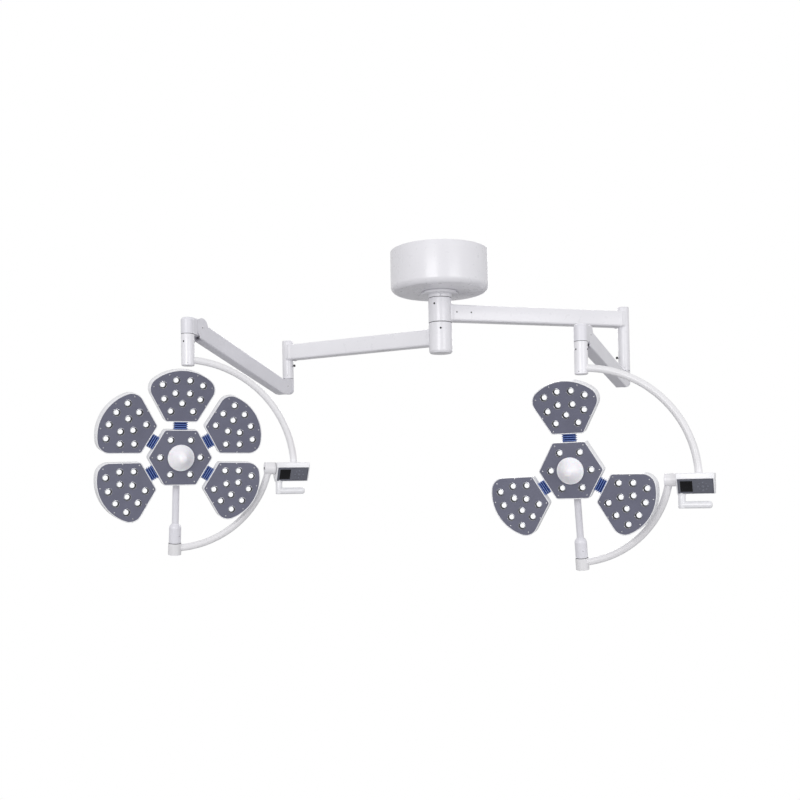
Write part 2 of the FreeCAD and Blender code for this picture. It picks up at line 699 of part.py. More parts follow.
def control_panel(side, place):
    """Panel plate on the slanted front, with a screen and a ring of membrane keys."""
    plate = new_body(side + "_panel_plate")
    sketch = sketch_on(plate, "YZ_Plane", S.box_in + 6.3)
    outline(sketch, slab(1.9, 61.9, 1.6, 0))
    pad(plate, sketch, S.box_out - S.box_in - 12.6)
    screen = new_body(side + "_screen")
    sketch = sketch_on(screen, "YZ_Plane", S.box_in + 15)
    outline(sketch, slab(9, 54, 0, -0.6))
    pad(screen, sketch, 40)
    keys = []
    outward = FreeCAD.Rotation(V(0, 0, 1), V(0, -0.8148, -0.5797))
    middle = slab(31.5, 31.5, 0, 0)[0]
    spots = [(0, 0, 4)]
    for i in range(8):
        spots.append((16 * math.cos(i * math.pi / 4), 16 * math.sin(i * math.pi / 4), 3))
    for dx, run, radius in spots:
        key = primitive("Cylinder", side + "_key", {"Radius": radius, "Height": 0.6})
        at = V(float(S.box_in) + 89 + dx, middle[0] + run * 0.5797, middle[1] - run * 0.8148)
        key.Placement = FreeCAD.Placement(at, outward)
        keys.append(key)
    node(group(side + "_control_panel", [plate, screen] + keys), side + "_control_panel", place)


def lower_arc(side, data, place):
    outer, inner = bent_tube(side + "_low_bend", S.low_arc_rad, (S.low_arc_x, S.low_arc_z), *data["low_arc"])
    barrel = primitive("Cylinder", side + "_barrel",
                       {"Radius": S.knuckle_rad, "Height": S.box_in - S.knuckle_in - 1.5},
                       (S.knuckle_in, 0, 0), V(0, 1, 0), 90)
    socket = primitive("Cylinder", side + "_socket",
                       {"Radius": S.socket_rad, "Height": S.socket_low - S.socket_top},
                       (data["post_x"], 0, -S.socket_low), V(0, 1, 0), data["lean"])
    ends = [primitive("Cylinder", side + "_barrel_core", {"Radius": S.knuckle_rad, "Height": 30},
                      (S.knuckle_in, 0, 0), V(0, 1, 0), 90),
            primitive("Cylinder", side + "_socket_core", {"Radius": S.socket_rad, "Height": 40},
                      (data["post_x"], 0, -S.socket_low), V(0, 1, 0), data["lean"])]
    passage = boolean("Cut", side + "_passage", inner, group(side + "_cores", ends))
    bore = primitive("Cylinder", side + "_barrel_bore", {"Radius": 10.5, "Height": 60},
                     (S.knuckle_in + 4, 0, 0), V(0, 1, 0), 90)
    well = primitive("Cylinder", side + "_socket_bore", {"Radius": 14.5, "Height": 60},
                     (data["post_x"], 0, 6 - S.socket_low), V(0, 1, 0), data["lean"])
    whole = boolean("MultiFuse", side + "_low_solid", outer, [barrel, socket])
    cutter = group(side + "_low_cuts", [passage, bore, well])
    node(boolean("Cut", side + "_lower_arc", whole, cutter), side + "_lower_arc", place)


# ------------------------------------------------------------------ lamp head
def hexagon(sketch, apothem):
    """Regular hexagon with level top and bottom sides."""
    side = apothem * (2 / math.sqrt(3))
    half = side * 0.5
    outline(sketch, [(side, 0), (half, apothem), (-half, apothem), (-side, 0), (-half, -apothem),
                     (half, -apothem)])


def head(side, data, place):
    post = new_body(side + "_post")
    drop = S.head_up
    low, top = -S.socket_low - drop, -S.socket_top - drop + 0.8
    turn(post, [(0, low + 8), (14, low + 8), (14, top), (S.sleeve_rad, top), (S.sleeve_rad, -270),
                (S.sleeve_rad - 2, -264), (S.post_rad, -255), (S.post_rad, -36), (0, -36)])
    node(post, side + "_post", place)

    face = place * move(0, -S.head_ahead, 0) * rotation((1, 0, 0), 90)
    case = new_body(side + "_hub_case")
    sketch = sketch_on(case, "XY_Plane")
    hexagon(sketch, S.hex_apothem + S.rim)
    pad(case, sketch, S.hub_deep, back=True)
    round_edges(case, S.hex_corner + S.rim, is_upright)
    deep = -S.hub_deep
    turn(case, [(0, deep + 1), (98, deep + 1), (95, deep - 10), (86, deep - 22), (70, deep - 31),
                (45, deep - 37), (0, deep - 40)])
    boss = sketch_on(case, "XZ_Plane", 20)
    circle(boss, 0, -S.head_ahead, 18)
    pad(case, boss, 75)
    bore = sketch_on(case, "XZ_Plane", 36)
    circle(bore, 0, -S.head_ahead, S.post_rad)
    pocket(case, bore, 80, back=True)
    for apothem, depth in ((S.hex_apothem + S.plate_in, S.face_thick + 0.5), (S.hex_apothem - 5, 34)):
        sketch = sketch_on(case, "XY_Plane")
        hexagon(sketch, apothem)
        pocket(case, sketch, depth)
    brackets = []
    for angle in data["petals"]:
        brackets.append(hinge_bracket(side, angle - 90))
    node(group(side + "_hub_housing", [case] + brackets), side + "_hub_housing", face)

    plate = new_body(side + "_hub_plate")
    sketch = sketch_on(plate, "XY_Plane", -0.5)
    hexagon(sketch, S.hex_apothem)
    pad(plate, sketch, S.face_thick, back=True)
    round_edges(plate, S.hex_corner, is_upright)
    spots = [(72.6 * math.cos(math.radians(a)), 72.6 * math.sin(math.radians(a))) for a in range(0, 360, 60)]
    fixings = [(102 * math.cos(math.radians(a)), 102 * math.sin(math.radians(a))) for a in range(0, 360, 60)]
    drill(plate, spots, S.lens_rad + 0.4)
    drill(plate, fixings, 2.8)
    drill(plate, [(0, 0)], 8.6)
    parts = [plate, studs(side + "_hub_lenses", spots, S.lens_rad, 0.8),
             studs(side + "_hub_screws", fixings, 2.6, 0.2)]
    node(group(side + "_hub_lamp", parts), side + "_hub_lamp", face)

    handle = new_body(side + "_focus_handle")
    rad, high = S.cone_rad, S.cone_high
    turn(handle, [(0, -33), (8, -33), (8, 1), (rad - 2, 1), (rad, 3), (rad, 6), (rad - 1.5, 8.5),
                  (rad - 18, high - 20), (rad - 32, high - 7.5), (rad - 40, high - 1.8),
                  (4, high - 0.2), (0, high)])
    node(handle, side + "_focus_handle", face)

    boots = []
    for angle in data["petals"]:
        boots.append(boot(side, angle - 90))
    node(group(side + "_bellows", boots), side + "_bellows", face)

    for number, angle in enumerate(data["petals"], 1):
        hinge = move(0, S.hinge_out, -S.hinge_back)
        tilt = hinge * rotation((1, 0, 0), float(S.petal_tilt)) * hinge.inverse()
        petal(f"{side}_petal_{number}", face * rotation((0, 0, 1), angle - 90) * tilt)


def hinge_bracket(side, angle):
    """Two ears with a pin on one side of the hub, on which a petal tilts."""
    out = S.hex_apothem + S.rim
    ears = []
    for x in (-18, 14):
        ears.append(primitive("Box", side + "_ear", {"Length": 4, "Width": 15, "Height": 12},
                              (x, out, -S.hinge_back - 6)))
    pin = primitive("Cylinder", side + "_hinge_pin", {"Radius": 2.5, "Height": 36},
                    (-18, S.hinge_out, -S.hinge_back), V(0, 1, 0), 90)
    bracket = boolean("MultiFuse", side + "_bracket", pin, ears)
    bracket.Placement = rotation((0, 0, 1), angle)
    return bracket


def boot(side, angle):
    """Ribbed rubber boot round a petal hinge."""
    body = new_body(side + "_boot")
    start = 101.5
    pitch = 27.0 / 4
    upper = []
    lower = []
    for i in range(5):
        y = start + i * pitch
        upper.append((y, -7))
        lower.append((y, -29))
        if i < 4:
            upper.append((y + pitch / 2, -3.5))
            lower.append((y + pitch / 2, -32.5))
    sketch = sketch_on(body, "YZ_Plane")
    outline(sketch, upper + lower[::-1])
    pad(body, sketch, 52, symmetric=True)
    inside = sketch_on(body, "XZ_Plane", -140)
    rectangle(inside, -20, -26, 20, -10)
    pocket(body, inside, 60, back=True)
    body.Placement = rotation((0, 0, 1), angle)
    return body


def drill(body, spots, radius):
    sketch = sketch_on(body, "XY_Plane", 5)
    for x, y in spots:
        circle(sketch, x, y, radius)
    pocket(body, sketch, 20)


def studs(label, spots, radius, proud):
    """Lenses or screws that fill the holes of a face plate."""
    body = new_body(label, many_solids=True)
    sketch = sketch_on(body, "XY_Plane", proud)
    for x, y in spots:
        circle(sketch, x, y, radius)
    pad(body, sketch, 3 + proud, back=True)
    return body


def petal_outline(sketch, grow):
    """Petal shape: short inner side, two slanted sides and a round outer side."""
    angle = math.radians(float(S.petal_side))
    slope = 1 / math.tan(angle)
    inner = S.petal_inner - grow
    half = S.petal_half + grow * (1 / math.sin(angle) - slope)
    radius = S.petal_arc + grow
    x0, y0 = float(half), float(inner) - float(S.petal_mid)
    dx, dy = math.cos(angle), math.sin(angle)
    along = x0 * dx + y0 * dy
    reach = -along + math.sqrt(along * along - x0 * x0 - y0 * y0 + float(radius) ** 2)
    corner = (x0 + reach * dx, y0 + reach * dy)
    mid = float(S.petal_mid)
    spread = math.atan2(corner[1], corner[0])
    inner_left = V(-x0, float(inner), 0)
    inner_right = V(x0, float(inner), 0)
    outer_left = V(-corner[0], corner[1] + mid, 0)
    outer_right = V(corner[0], corner[1] + mid, 0)
    ring = Part.Circle(V(0, mid, 0), V(0, 0, 1), float(radius))
    sketch.addGeometry([Part.LineSegment(inner_left, inner_right),
                        Part.LineSegment(inner_right, outer_right),
                        Part.ArcOfCircle(ring, spread, math.pi - spread),
                        Part.LineSegment(outer_left, inner_left)], False)
    rule = Sketcher.Constraint
    sketch.addConstraint([rule("Coincident", 0, 2, 1, 1), rule("Coincident", 1, 2, 2, 1),
                          rule("Coincident", 2, 2, 3, 1), rule("Coincident", 3, 2, 0, 1),
                          rule("Symmetric", 1, 2, 3, 1, -2)])
    fix_point(sketch, 0, 1, -half, inner)
    fix_point(sketch, 0, 2, half, inner)
    for kind, where, size in (("DistanceY", (-1, 1, 2, 3), S.petal_mid), ("Radius", (2,), radius)):
        index = sketch.addConstraint(rule(kind, *where, float(size)))
        sketch.setExpression(f"Constraints[{index}]", size.text)
    index = sketch.addConstraint(rule("Angle", 1, angle))
    sketch.setExpression(f"Constraints[{index}]", "Dims.petal_side * 1 deg")


def petal_slab(body, grow, top, depth):
    """Pads the petal outline backwards and rounds its four corners."""
    sketch = sketch_on(body, "XY_Plane", top)
    petal_outline(sketch, grow)
    pad(body, sketch, depth, back=True)
    mid = float(S.petal_mid)
    round_edges(body, S.hex_corner + grow, lambda edge: is_upright(edge) and edge.BoundBox.YMin < mid)
    round_edges(body, S.petal_corner + grow, lambda edge: is_upright(edge) and abs(edge.BoundBox.XMin) > 100
                and edge.BoundBox.YMin > mid)


def petal(label, place):
    cutters = []
    for part, grow, top, depth in (("recess", S.plate_in, Size(1, "1"), S.face_thick + 1.5),
                                   ("cavity", -S.rim, Size(1, "1"), S.petal_deep - 3)):
        cutter = new_body(label + "_" + part)
        petal_slab(cutter, grow, top, depth)
        cutters.append(cutter)
    shell = new_body(label + "_shell")
    petal_slab(shell, S.rim, 0, S.petal_deep)
    round_edges(shell, 9, lambda edge: at_height(edge, -S.petal_deep))
    hollow = boolean("Cut", label + "_hollow", shell, boolean("MultiFuse", label + "_room", cutters[0],
                                                              cutters[1:]))
    arm = new_body(label + "_arm")
    back = -S.hinge_back
    for wide, shape in ((18, "bar"), (26, "barrel")):
        sketch = sketch_on(arm, "YZ_Plane")
        if shape == "bar":
            rectangle(sketch, S.hinge_out, back - 4, S.petal_inner + 1, back + 4)
        else:
            circle(sketch, S.hinge_out, back, 5.5)
        pad(arm, sketch, wide, symmetric=True)
    bore = sketch_on(arm, "YZ_Plane")
    circle(bore, S.hinge_out, back, 2.8)
    pocket(arm, bore, 60, symmetric=True)
    node(boolean("MultiFuse", label + "_housing", hollow, [arm]), label + "_housing", place)

    plate = new_body(label + "_plate")
    petal_slab(plate, Size(0, "0"), -0.5, S.face_thick)
    drill(plate, PETAL_LENSES, S.lens_rad + 0.4)
    drill(plate, PETAL_SCREWS, 2.8)
    parts = [plate, studs(label + "_lenses", PETAL_LENSES, S.lens_rad, 0.8),
             studs(label + "_screws", PETAL_SCREWS, 2.6, 0.2)]
    node(group(label + "_lamp", parts), label + "_lamp", place)


# ------------------------------------------------------------------ whole light
ceiling_parts()
for side, data in SIDES.items():
    extension_arm(side, data)
    root, lifted, front, centre = arm_frames(data)
    root_knuckle(side, root)
    spring_arm(side, lifted)
    counter_spring(side, lifted)
    link_rod(side, FreeCAD.Placement(root.Base - V(0, 0, float(S.link_below)), lifted.Rotation))
    nose(side, front)
    yoke(side, centre)
    pitched = centre * rotation((1, 0, 0), data["pitch"])
    lower_arc(side, data, pitched)
    foot = pitched * move(data["post_x"], 0, -S.socket_low) * rotation((0, 1, 0), data["lean"])
    head(side, data, foot * move(0, 0, S.socket_low + S.head_up) * rotation((0, 0, 1), data["yaw"]))

doc.recompute()
faults = []
for thing in doc.Objects:
    if "Invalid" in thing.State or "Error" in thing.State:
        faults.append(thing.Name)
for thing in NODES:
    if thing.Shape.isNull() or not thing.Shape.isValid() or not thing.Shape.Solids:
        faults.append(thing.Label + " shape")
if faults:
    raise RuntimeError("faulty features: " + ", ".join(faults))
for thing in NODES:
    thing.Shape.exportStep(f"parts/{thing.Label}.step")
print(len(NODES), "parts written")
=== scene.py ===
import json
import math

import bmesh
import bpy
from mathutils import Matrix, Vector


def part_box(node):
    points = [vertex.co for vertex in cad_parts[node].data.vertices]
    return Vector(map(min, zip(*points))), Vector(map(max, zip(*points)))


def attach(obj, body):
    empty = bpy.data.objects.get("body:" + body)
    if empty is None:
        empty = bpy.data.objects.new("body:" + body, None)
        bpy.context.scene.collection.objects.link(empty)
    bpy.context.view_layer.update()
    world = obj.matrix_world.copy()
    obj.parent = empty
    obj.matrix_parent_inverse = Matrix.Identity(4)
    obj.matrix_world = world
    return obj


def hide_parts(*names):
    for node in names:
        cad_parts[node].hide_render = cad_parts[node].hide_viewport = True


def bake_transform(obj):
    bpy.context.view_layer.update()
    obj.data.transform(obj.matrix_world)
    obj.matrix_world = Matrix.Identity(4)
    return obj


# Ceiling-mounted surgical light.  Shapes are built in millimetres in the local frame of the
# assembly that they belong to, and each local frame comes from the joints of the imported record.

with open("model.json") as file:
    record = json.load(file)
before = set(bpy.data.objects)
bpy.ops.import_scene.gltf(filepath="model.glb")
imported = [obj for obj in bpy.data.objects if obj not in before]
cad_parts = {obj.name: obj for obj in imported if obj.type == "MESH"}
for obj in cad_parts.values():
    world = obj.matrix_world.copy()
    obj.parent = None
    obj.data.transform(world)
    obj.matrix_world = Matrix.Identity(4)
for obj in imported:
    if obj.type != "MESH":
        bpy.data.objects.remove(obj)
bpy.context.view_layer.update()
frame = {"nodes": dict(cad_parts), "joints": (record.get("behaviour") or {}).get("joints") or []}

MM = 0.001
WORLD = Matrix.Scale(MM, 4)
UP = Vector((0, 0, 1))
SIDES = ("left", "right")
JOINTS = {joint["name"]: joint for joint in frame["joints"]}
scene = bpy.context.scene


# ------------------------------------------------------------------ frames from the record
def joint_at(name):
    return Vector(JOINTS[name]["pos_m"])


def joint_axis(name):
    return Vector(JOINTS[name]["axis"]).normalized()


def make_frame(origin, x, y):
    """Frame with the given X and Y directions, scaled so that its lengths are millimetres."""
    x = x.normalized()
    z = x.cross(y).normalized()
    y = z.cross(x)
    matrix = Matrix((x, y, z)).transposed().to_4x4()
    matrix.translation = origin
    return matrix @ Matrix.Scale(MM, 4)


def shift(x=0.0, y=0.0, z=0.0):
    return Matrix.Translation((x, y, z))


def spin(angle, axis="Z"):
    return Matrix.Rotation(math.radians(angle), 4, axis)


def frames_of(side):
    """Local frames of one side of the light, by name."""
    root = joint_at(side + "_arm_lift")
    front = joint_at(side + "_nose_level")
    heading = Vector((front.x - root.x, front.y - root.y, 0)).normalized()
    across = UP.cross(heading)
    sideways = joint_axis(side + "_head_pitch")
    post = joint_axis(side + "_head_yaw")
    facing = joint_axis(side + "_focus")
    centre = joint_at(side + "_head_pitch") - sideways * 0.295
    beam = joint_at(side + "_base_swivel") * Vector((1, 1, 0))
    return {
        "beam": make_frame(Vector((0, 0, 0)), beam, UP.cross(beam)),
        "root": make_frame(root, heading, across),
        "arm": make_frame(root, front - root, across),
        "front": make_frame(front, heading, across),
        "yoke": make_frame(centre, sideways, UP.cross(sideways)),
        "pitched": make_frame(centre, sideways, post.cross(sideways)),
        "head": make_frame(joint_at(side + "_head_yaw"), post.cross(facing), -facing),
        "face": make_frame(joint_at(side + "_focus"), post.cross(facing), post),
    }


PLACES = {side: frames_of(side) for side in SIDES}
BEAM_LONG = {side: joint_at(side + "_base_swivel").xy.length / MM for side in SIDES}
ARM_LONG = {side: (joint_at(side + "_nose_level") - joint_at(side + "_arm_lift")).length / MM
            for side in SIDES}
PETALS = {side: [int(name.split("_")[2]) for name in JOINTS if name.startswith(side + "_petal")]
          for side in SIDES}
PETAL_LEAN = 5.4
HINGE_OUT, HINGE_BACK = 112, 18


def petal_frames(side, number):
    """Frame of a petal before and after it leans forward about its hinge."""
    name = f"{side}_petal_{number}_tilt"
    facing = joint_axis(side + "_focus")
    across = joint_axis(name)
    level = make_frame(joint_at(side + "_focus"), across, facing.cross(across))
    hinge = shift(0, HINGE_OUT, -HINGE_BACK)
    return level, level @ hinge @ spin(PETAL_LEAN, "X") @ hinge.inverted()


# ------------------------------------------------------------------ materials
def linear(red, green, blue):
    """Linear colour from 8-bit sRGB numbers."""
    out = []
    for value in (red, green, blue):
        value /= 255
        out.append(value / 12.92 if value <= 0.04045 else ((value + 0.055) / 1.055) ** 2.4)
    return (*out, 1.0)


def set_range(node, *limits):
    """Sets the from and to limits of a Map Range node."""
    for socket, value in zip(("From Min", "From Max", "To Min", "To Max"), limits):
        node.inputs[socket].default_value = value


class Nodes:
    """Short ways to add nodes to a material."""

    def __init__(self, name):
        self.material = bpy.data.materials.new(name)
        self.material.use_nodes = True
        self.tree = self.material.node_tree
        self.shader = self.tree.nodes["Principled BSDF"]
        coords = self.tree.nodes.new("ShaderNodeTexCoord")
        self.place = coords.outputs["Object"]

    def add(self, kind, **values):
        node = self.tree.nodes.new("ShaderNode" + kind)
        for key, value in values.items():
            setattr(node, key, value)
        return node

    def link(self, source, target):
        self.tree.links.new(source, target)

    def stretched(self, x, y, z):
        mapping = self.add("Mapping")
        mapping.inputs["Scale"].default_value = (x, y, z)
        self.link(self.place, mapping.inputs["Vector"])
        return mapping.outputs["Vector"]

    def noise(self, scale, detail=3.0, where=None, rough=0.5):
        node = self.add("TexNoise")
        node.inputs["Scale"].default_value = scale
        node.inputs["Detail"].default_value = detail
        node.inputs["Roughness"].default_value = rough
        self.link(where or self.place, node.inputs["Vector"])
        return node.outputs["Fac"]

    def ramp(self, source, low, high, start, finish):
        """source from low..high mapped to start..finish."""
        node = self.add("MapRange")
        set_range(node, low, high, start, finish)
        self.link(source, node.inputs["Value"])
        return node.outputs["Result"]

    def mix(self, factor, first, second):
        """Colour between first and second; each is a colour or the output of a node."""
        node = self.add("Mix", data_type="RGBA")
        self.link(factor, node.inputs["Factor"])
        for value, name in ((first, "A"), (second, "B")):
            socket = [s for s in node.inputs if s.name == name and s.type == "RGBA"][0]
            if isinstance(value, tuple):
                socket.default_value = value
            else:
                self.link(value, socket)
        return [s for s in node.outputs if s.type == "RGBA"][0]

    def bump(self, height, strength, distance, before=None):
        node = self.add("Bump")
        node.inputs["Strength"].default_value = strength
        node.inputs["Distance"].default_value = distance
        self.link(height, node.inputs["Height"])
        if before is not None:
            self.link(before, node.inputs["Normal"])
        return node.outputs["Normal"]

    def set(self, **values):
        for key, value in values.items():
            self.shader.inputs[key.replace("_", " ")].default_value = value


def scaled(colour, factor):
    return tuple(min(1.0, part * factor) for part in colour[:3]) + (1.0,)


def surface(name, colour, rough, mottle, mottle_scale=9.0, rough_swing=0.06, grain=900.0,
            depth=0.15, peel=None, speckle=0.0, worn=0.0, ribs=None, **settings):
    """Coated or moulded surface: cloudy colour, uneven gloss and fine grain.

    speckle adds pale dots, worn darkens rubbed edges, and ribs is a lighter colour painted on raised
    ribs as a painted highlight, which leaves the valleys darker as painted shade.
    """
    n = Nodes(name)
    cloud = n.noise(mottle_scale, 4.0)
    tone = n.mix(n.ramp(cloud, 0.3, 0.7, 0, 1), scaled(colour, 1 - mottle),
                 scaled(colour, 1 + mottle))
    if speckle:
        dots = n.ramp(n.noise(1400.0, 1.0), 0.42, 0.62, 0, speckle)
        tone = n.mix(dots, tone, scaled(colour, 1.9))
    if worn:
        edge = n.add("NewGeometry").outputs["Pointiness"]
        scratch = n.noise(160.0, 5.0)
        joined = n.add("Math", operation="MULTIPLY")
        n.link(n.ramp(edge, 0.56, 0.68, 0, worn), joined.inputs[0])
        n.link(n.ramp(scratch, 0.4, 0.65, 0, 1), joined.inputs[1])
        tone = n.mix(joined.outputs[0], tone, scaled(colour, 0.72))
    # painted highlight: rib crests take the lighter ribs colour, and the valleys keep the darker base as
    # painted shade
    if ribs:
        crest = n.add("Attribute", attribute_name="crest").outputs["Fac"]
        tone = n.mix(n.ramp(crest, 0.55, 1.0, 0, 1), tone, ribs)
    n.link(tone, n.shader.inputs["Base Color"])
    n.link(n.ramp(n.noise(45.0, 5.0), 0.3, 0.7, rough - rough_swing, rough + rough_swing),
           n.shader.inputs["Roughness"])
    normal = n.bump(n.noise(grain, 2.0), depth, 0.0002)
    if peel:
        normal = n.bump(n.noise(peel, 1.0), 0.25, 0.0003, before=normal)
    n.link(normal, n.shader.inputs["Normal"])
    n.set(**settings)
    return n.material


def metal(name, colour, rough, brushed=(1.0, 1.0, 1.0), scale=400.0):
    """Machined or brushed steel with fine lines and a little staining."""
    n = Nodes(name)
    lines = n.noise(scale, 4.0, n.stretched(*brushed), 0.6)
    stain = n.noise(30.0, 4.0)
    tone = n.mix(n.ramp(stain, 0.3, 0.7, 0, 1), scaled(colour, 0.88), colour)
    n.link(tone, n.shader.inputs["Base Color"])
    n.link(n.ramp(lines, 0.3, 0.7, rough - 0.08, rough + 0.1), n.shader.inputs["Roughness"])
    n.link(n.bump(lines, 0.12, 0.0001), n.shader.inputs["Normal"])
    n.set(Metallic=1.0)
    return n.material


def glowing_lens_material():
    """Moulded lens with faint rings and a slightly cooler middle; its glow is a painted highlight and
    its greyer rim is painted shade.
    """
    n = Nodes("lens_painted_glow")
    across = n.add("Attribute", attribute_name="across").outputs["Fac"]
    rings = n.add("Math", operation="SINE")
    wide = n.add("Math", operation="MULTIPLY")
    wide.inputs[1].default_value = 38.0
    n.link(across, wide.inputs[0])
    n.link(wide.outputs[0], rings.inputs[0])
    tone = n.mix(n.ramp(rings.outputs[0], -1, 1, 0, 1), (0.86, 0.88, 0.92, 1), (1, 1, 1, 1))
    # painted shade: the lens greys towards its rim for a ball look
    tone = n.mix(n.ramp(across, 0.6, 1.0, 0, 1), tone, (0.55, 0.57, 0.62, 1))
    n.link(tone, n.shader.inputs["Base Color"])
    # painted highlight: the lens colour also glows, standing in for its white highlight
    n.link(tone, n.shader.inputs["Emission Color"])
    n.link(n.ramp(n.noise(300.0), 0.3, 0.7, 0.08, 0.2), n.shader.inputs["Roughness"])
    n.link(n.bump(rings.outputs[0], 0.2, 0.0002), n.shader.inputs["Normal"])
    n.set(Emission_Strength=0.6, Coat_Weight=0.6, Coat_Roughness=0.05)
    return n.material


def cone_material():
    """Matt translucent-looking plastic of the focus handle, with soft radial moulding marks."""
    n = Nodes("handle_plastic")
    cloud = n.noise(26.0, 3.0, rough=0.65)
    tone = n.mix(n.ramp(cloud, 0.35, 0.65, 0, 1), linear(236, 235, 241), linear(248, 247, 251))
    n.link(tone, n.shader.inputs["Base Color"])
    n.link(n.ramp(n.noise(70.0), 0.3, 0.7, 0.34, 0.46), n.shader.inputs["Roughness"])
    fine = n.bump(n.noise(800.0), 0.1, 0.0002)
    n.link(n.bump(cloud, 0.35, 0.004, before=fine), n.shader.inputs["Normal"])
    n.set(Subsurface_Weight=0.08, Subsurface_Scale=0.01)
    return n.material


PAINT = surface("white_powder_coat", linear(232, 231, 236), 0.3, mottle=0.012, peel=420.0,
                rough_swing=0.04, Coat_Weight=0.25, Coat_Roughness=0.12)
TUBE_PAINT = surface("tube_powder_coat", linear(227, 226, 229), 0.34, mottle=0.02, peel=420.0,
                     Coat_Weight=0.12, Coat_Roughness=0.2)
# The greyer arm coat also serves as painted shade on the head post.
ARM_PAINT_AND_POST_SHADE = surface("arm_coat_and_post_shade", linear(223, 222, 229), 0.36, mottle=0.02, peel=420.0,
                    Coat_Weight=0.12, Coat_Roughness=0.2)
PLASTIC = surface("white_moulding", linear(232, 232, 236), 0.28, mottle=0.015, mottle_scale=14.0,
                  grain=1300.0, depth=0.12, Coat_Weight=0.25, Coat_Roughness=0.15)
FACE = surface("face_plate_grey", linear(98, 99, 116), 0.5, mottle=0.06, mottle_scale=22.0, grain=1100.0,
               depth=0.5, speckle=0.22, worn=0.3)
# The lens cup is dark moulding, made near black partly as painted shade for the dark crescent in each
# lens recess.
CUP = surface("lens_cup", linear(20, 20, 25), 0.34, mottle=0.1, mottle_scale=60.0, grain=600.0,
              depth=0.2)
BEZEL = metal("lens_bezel", linear(225, 225, 230), 0.25)
SCREW = metal("screw_steel", linear(205, 205, 210), 0.3, (1, 1, 0.2), 900.0)
STEEL = metal("turned_steel", linear(200, 200, 204), 0.32, (0.1, 0.1, 1), 700.0)
# The lighter rib colour is a painted highlight on the bellows' crests.
RUBBER = surface("blue_rubber", linear(38, 56, 118), 0.3, mottle=0.12, mottle_scale=60.0, grain=700.0,
                 depth=0.3, ribs=linear(118, 144, 206), Coat_Weight=0.3, Coat_Roughness=0.25)
PANEL = surface("panel_film", linear(94, 96, 107), 0.42, mottle=0.05, mottle_scale=40.0, grain=1500.0,
                depth=0.3, speckle=0.08)
PANEL_EDGE = surface("panel_border", linear(84, 86, 98), 0.4, mottle=0.05, grain=1500.0,
                     depth=0.2)
ICON = surface("key_print", linear(142, 145, 160), 0.45, mottle=0.06, mottle_scale=80.0)
GLASS = surface("screen_glass", linear(9, 9, 12), 0.25, mottle=0.15, mottle_scale=30.0, rough_swing=0.04,
                grain=300.0, depth=0.03, Specular_IOR_Level=0.18)
BLACK = surface("black_moulding", linear(32, 32, 35), 0.45, mottle=0.1, mottle_scale=50.0,
                depth=0.4)
GAP = surface("dark_gap_grey", linear(48, 48, 52), 0.6, mottle=0.12, mottle_scale=70.0, depth=0.3)
PRIMER = surface("grey_primer", linear(150, 152, 156), 0.55, mottle=0.06, mottle_scale=18.0,
                 depth=0.4)
CONE = cone_material()
LENS_GLOW = glowing_lens_material()


# ------------------------------------------------------------------ outlines
def fillet(points, radii, steps, closed=True):
    """Polygon or polyline with rounded corners; every corner gives steps + 1 points."""
    out = []
    count = len(points)
    for i, point in enumerate(points):
        radius = radii[i] if isinstance(radii, (list, tuple)) else radii
        corner = Vector(point)
        if radius <= 0 or (not closed and i in (0, count - 1)):
            out.append(corner)
            continue
        back = (Vector(points[i - 1]) - corner).normalized()
        ahead = (Vector(points[(i + 1) % count]) - corner).normalized()
        half = back.angle(ahead) / 2
        centre = corner + (back + ahead).normalized() * (radius / math.sin(half))
        first = corner + back * (radius / math.tan(half)) - centre
        last = corner + ahead * (radius / math.tan(half)) - centre
        swing = math.atan2(first.x * last.y - first.y * last.x, first.dot(last))
        for k in range(steps + 1):
            turned = Matrix.Rotation(swing * k / steps, 2) @ first
            out.append(centre + turned)
    return out


def grown(points, grow):
    """Counter-clockwise polygon with every side moved outwards."""
    out = []
    for i, point in enumerate(points):
        here = Vector(point)
        before = (here - Vector(points[i - 1])).normalized()
        after = (Vector(points[(i + 1) % len(points)]) - here).normalized()
        out_before = Vector((before.y, -before.x))
        out_after = Vector((after.y, -after.x))
        out.append(here + (out_before + out_after) * (grow / (1 + out_before.dot(out_after))))
    return out


def polygon_ring(points, radius):
    """Function of grow that gives the polygon with rounded corners, offset outwards by grow."""
    return lambda grow: fillet(grown(points, grow), max(0.2, radius + grow), 5)


def box_ring(wide, high, radius):
    """Function of grow that gives a rounded rectangle from half its width and height."""
    return polygon_ring([(-wide, -high), (wide, -high), (wide, high), (-wide, high)], radius)


def hexagon_ring(apothem, radius):
    """Function of grow that gives a regular hexagon with rounded corners."""
    side = apothem * 2 / math.sqrt(3)
    corners = [(side * math.cos(math.radians(60 * i)), side * math.sin(math.radians(60 * i)))
               for i in range(6)]
    return lambda grow: fillet(grown(corners, grow), max(0.2, radius + grow), 6)


def circle_points(radius, count, x=0.0, y=0.0):
    return [Vector((x + radius * math.cos(2 * math.pi * i / count),
                    y + radius * math.sin(2 * math.pi * i / count))) for i in range(count)]


# petal outline: its inner edge and half that edge's length, the sides' angle, the outer arc and centre
PETAL_INNER, PETAL_HALF, PETAL_SIDE, PETAL_ARC, PETAL_MID = 135, 55, 60.4, 155, 161
INNER_CORNER, OUTER_CORNER = 8, 42


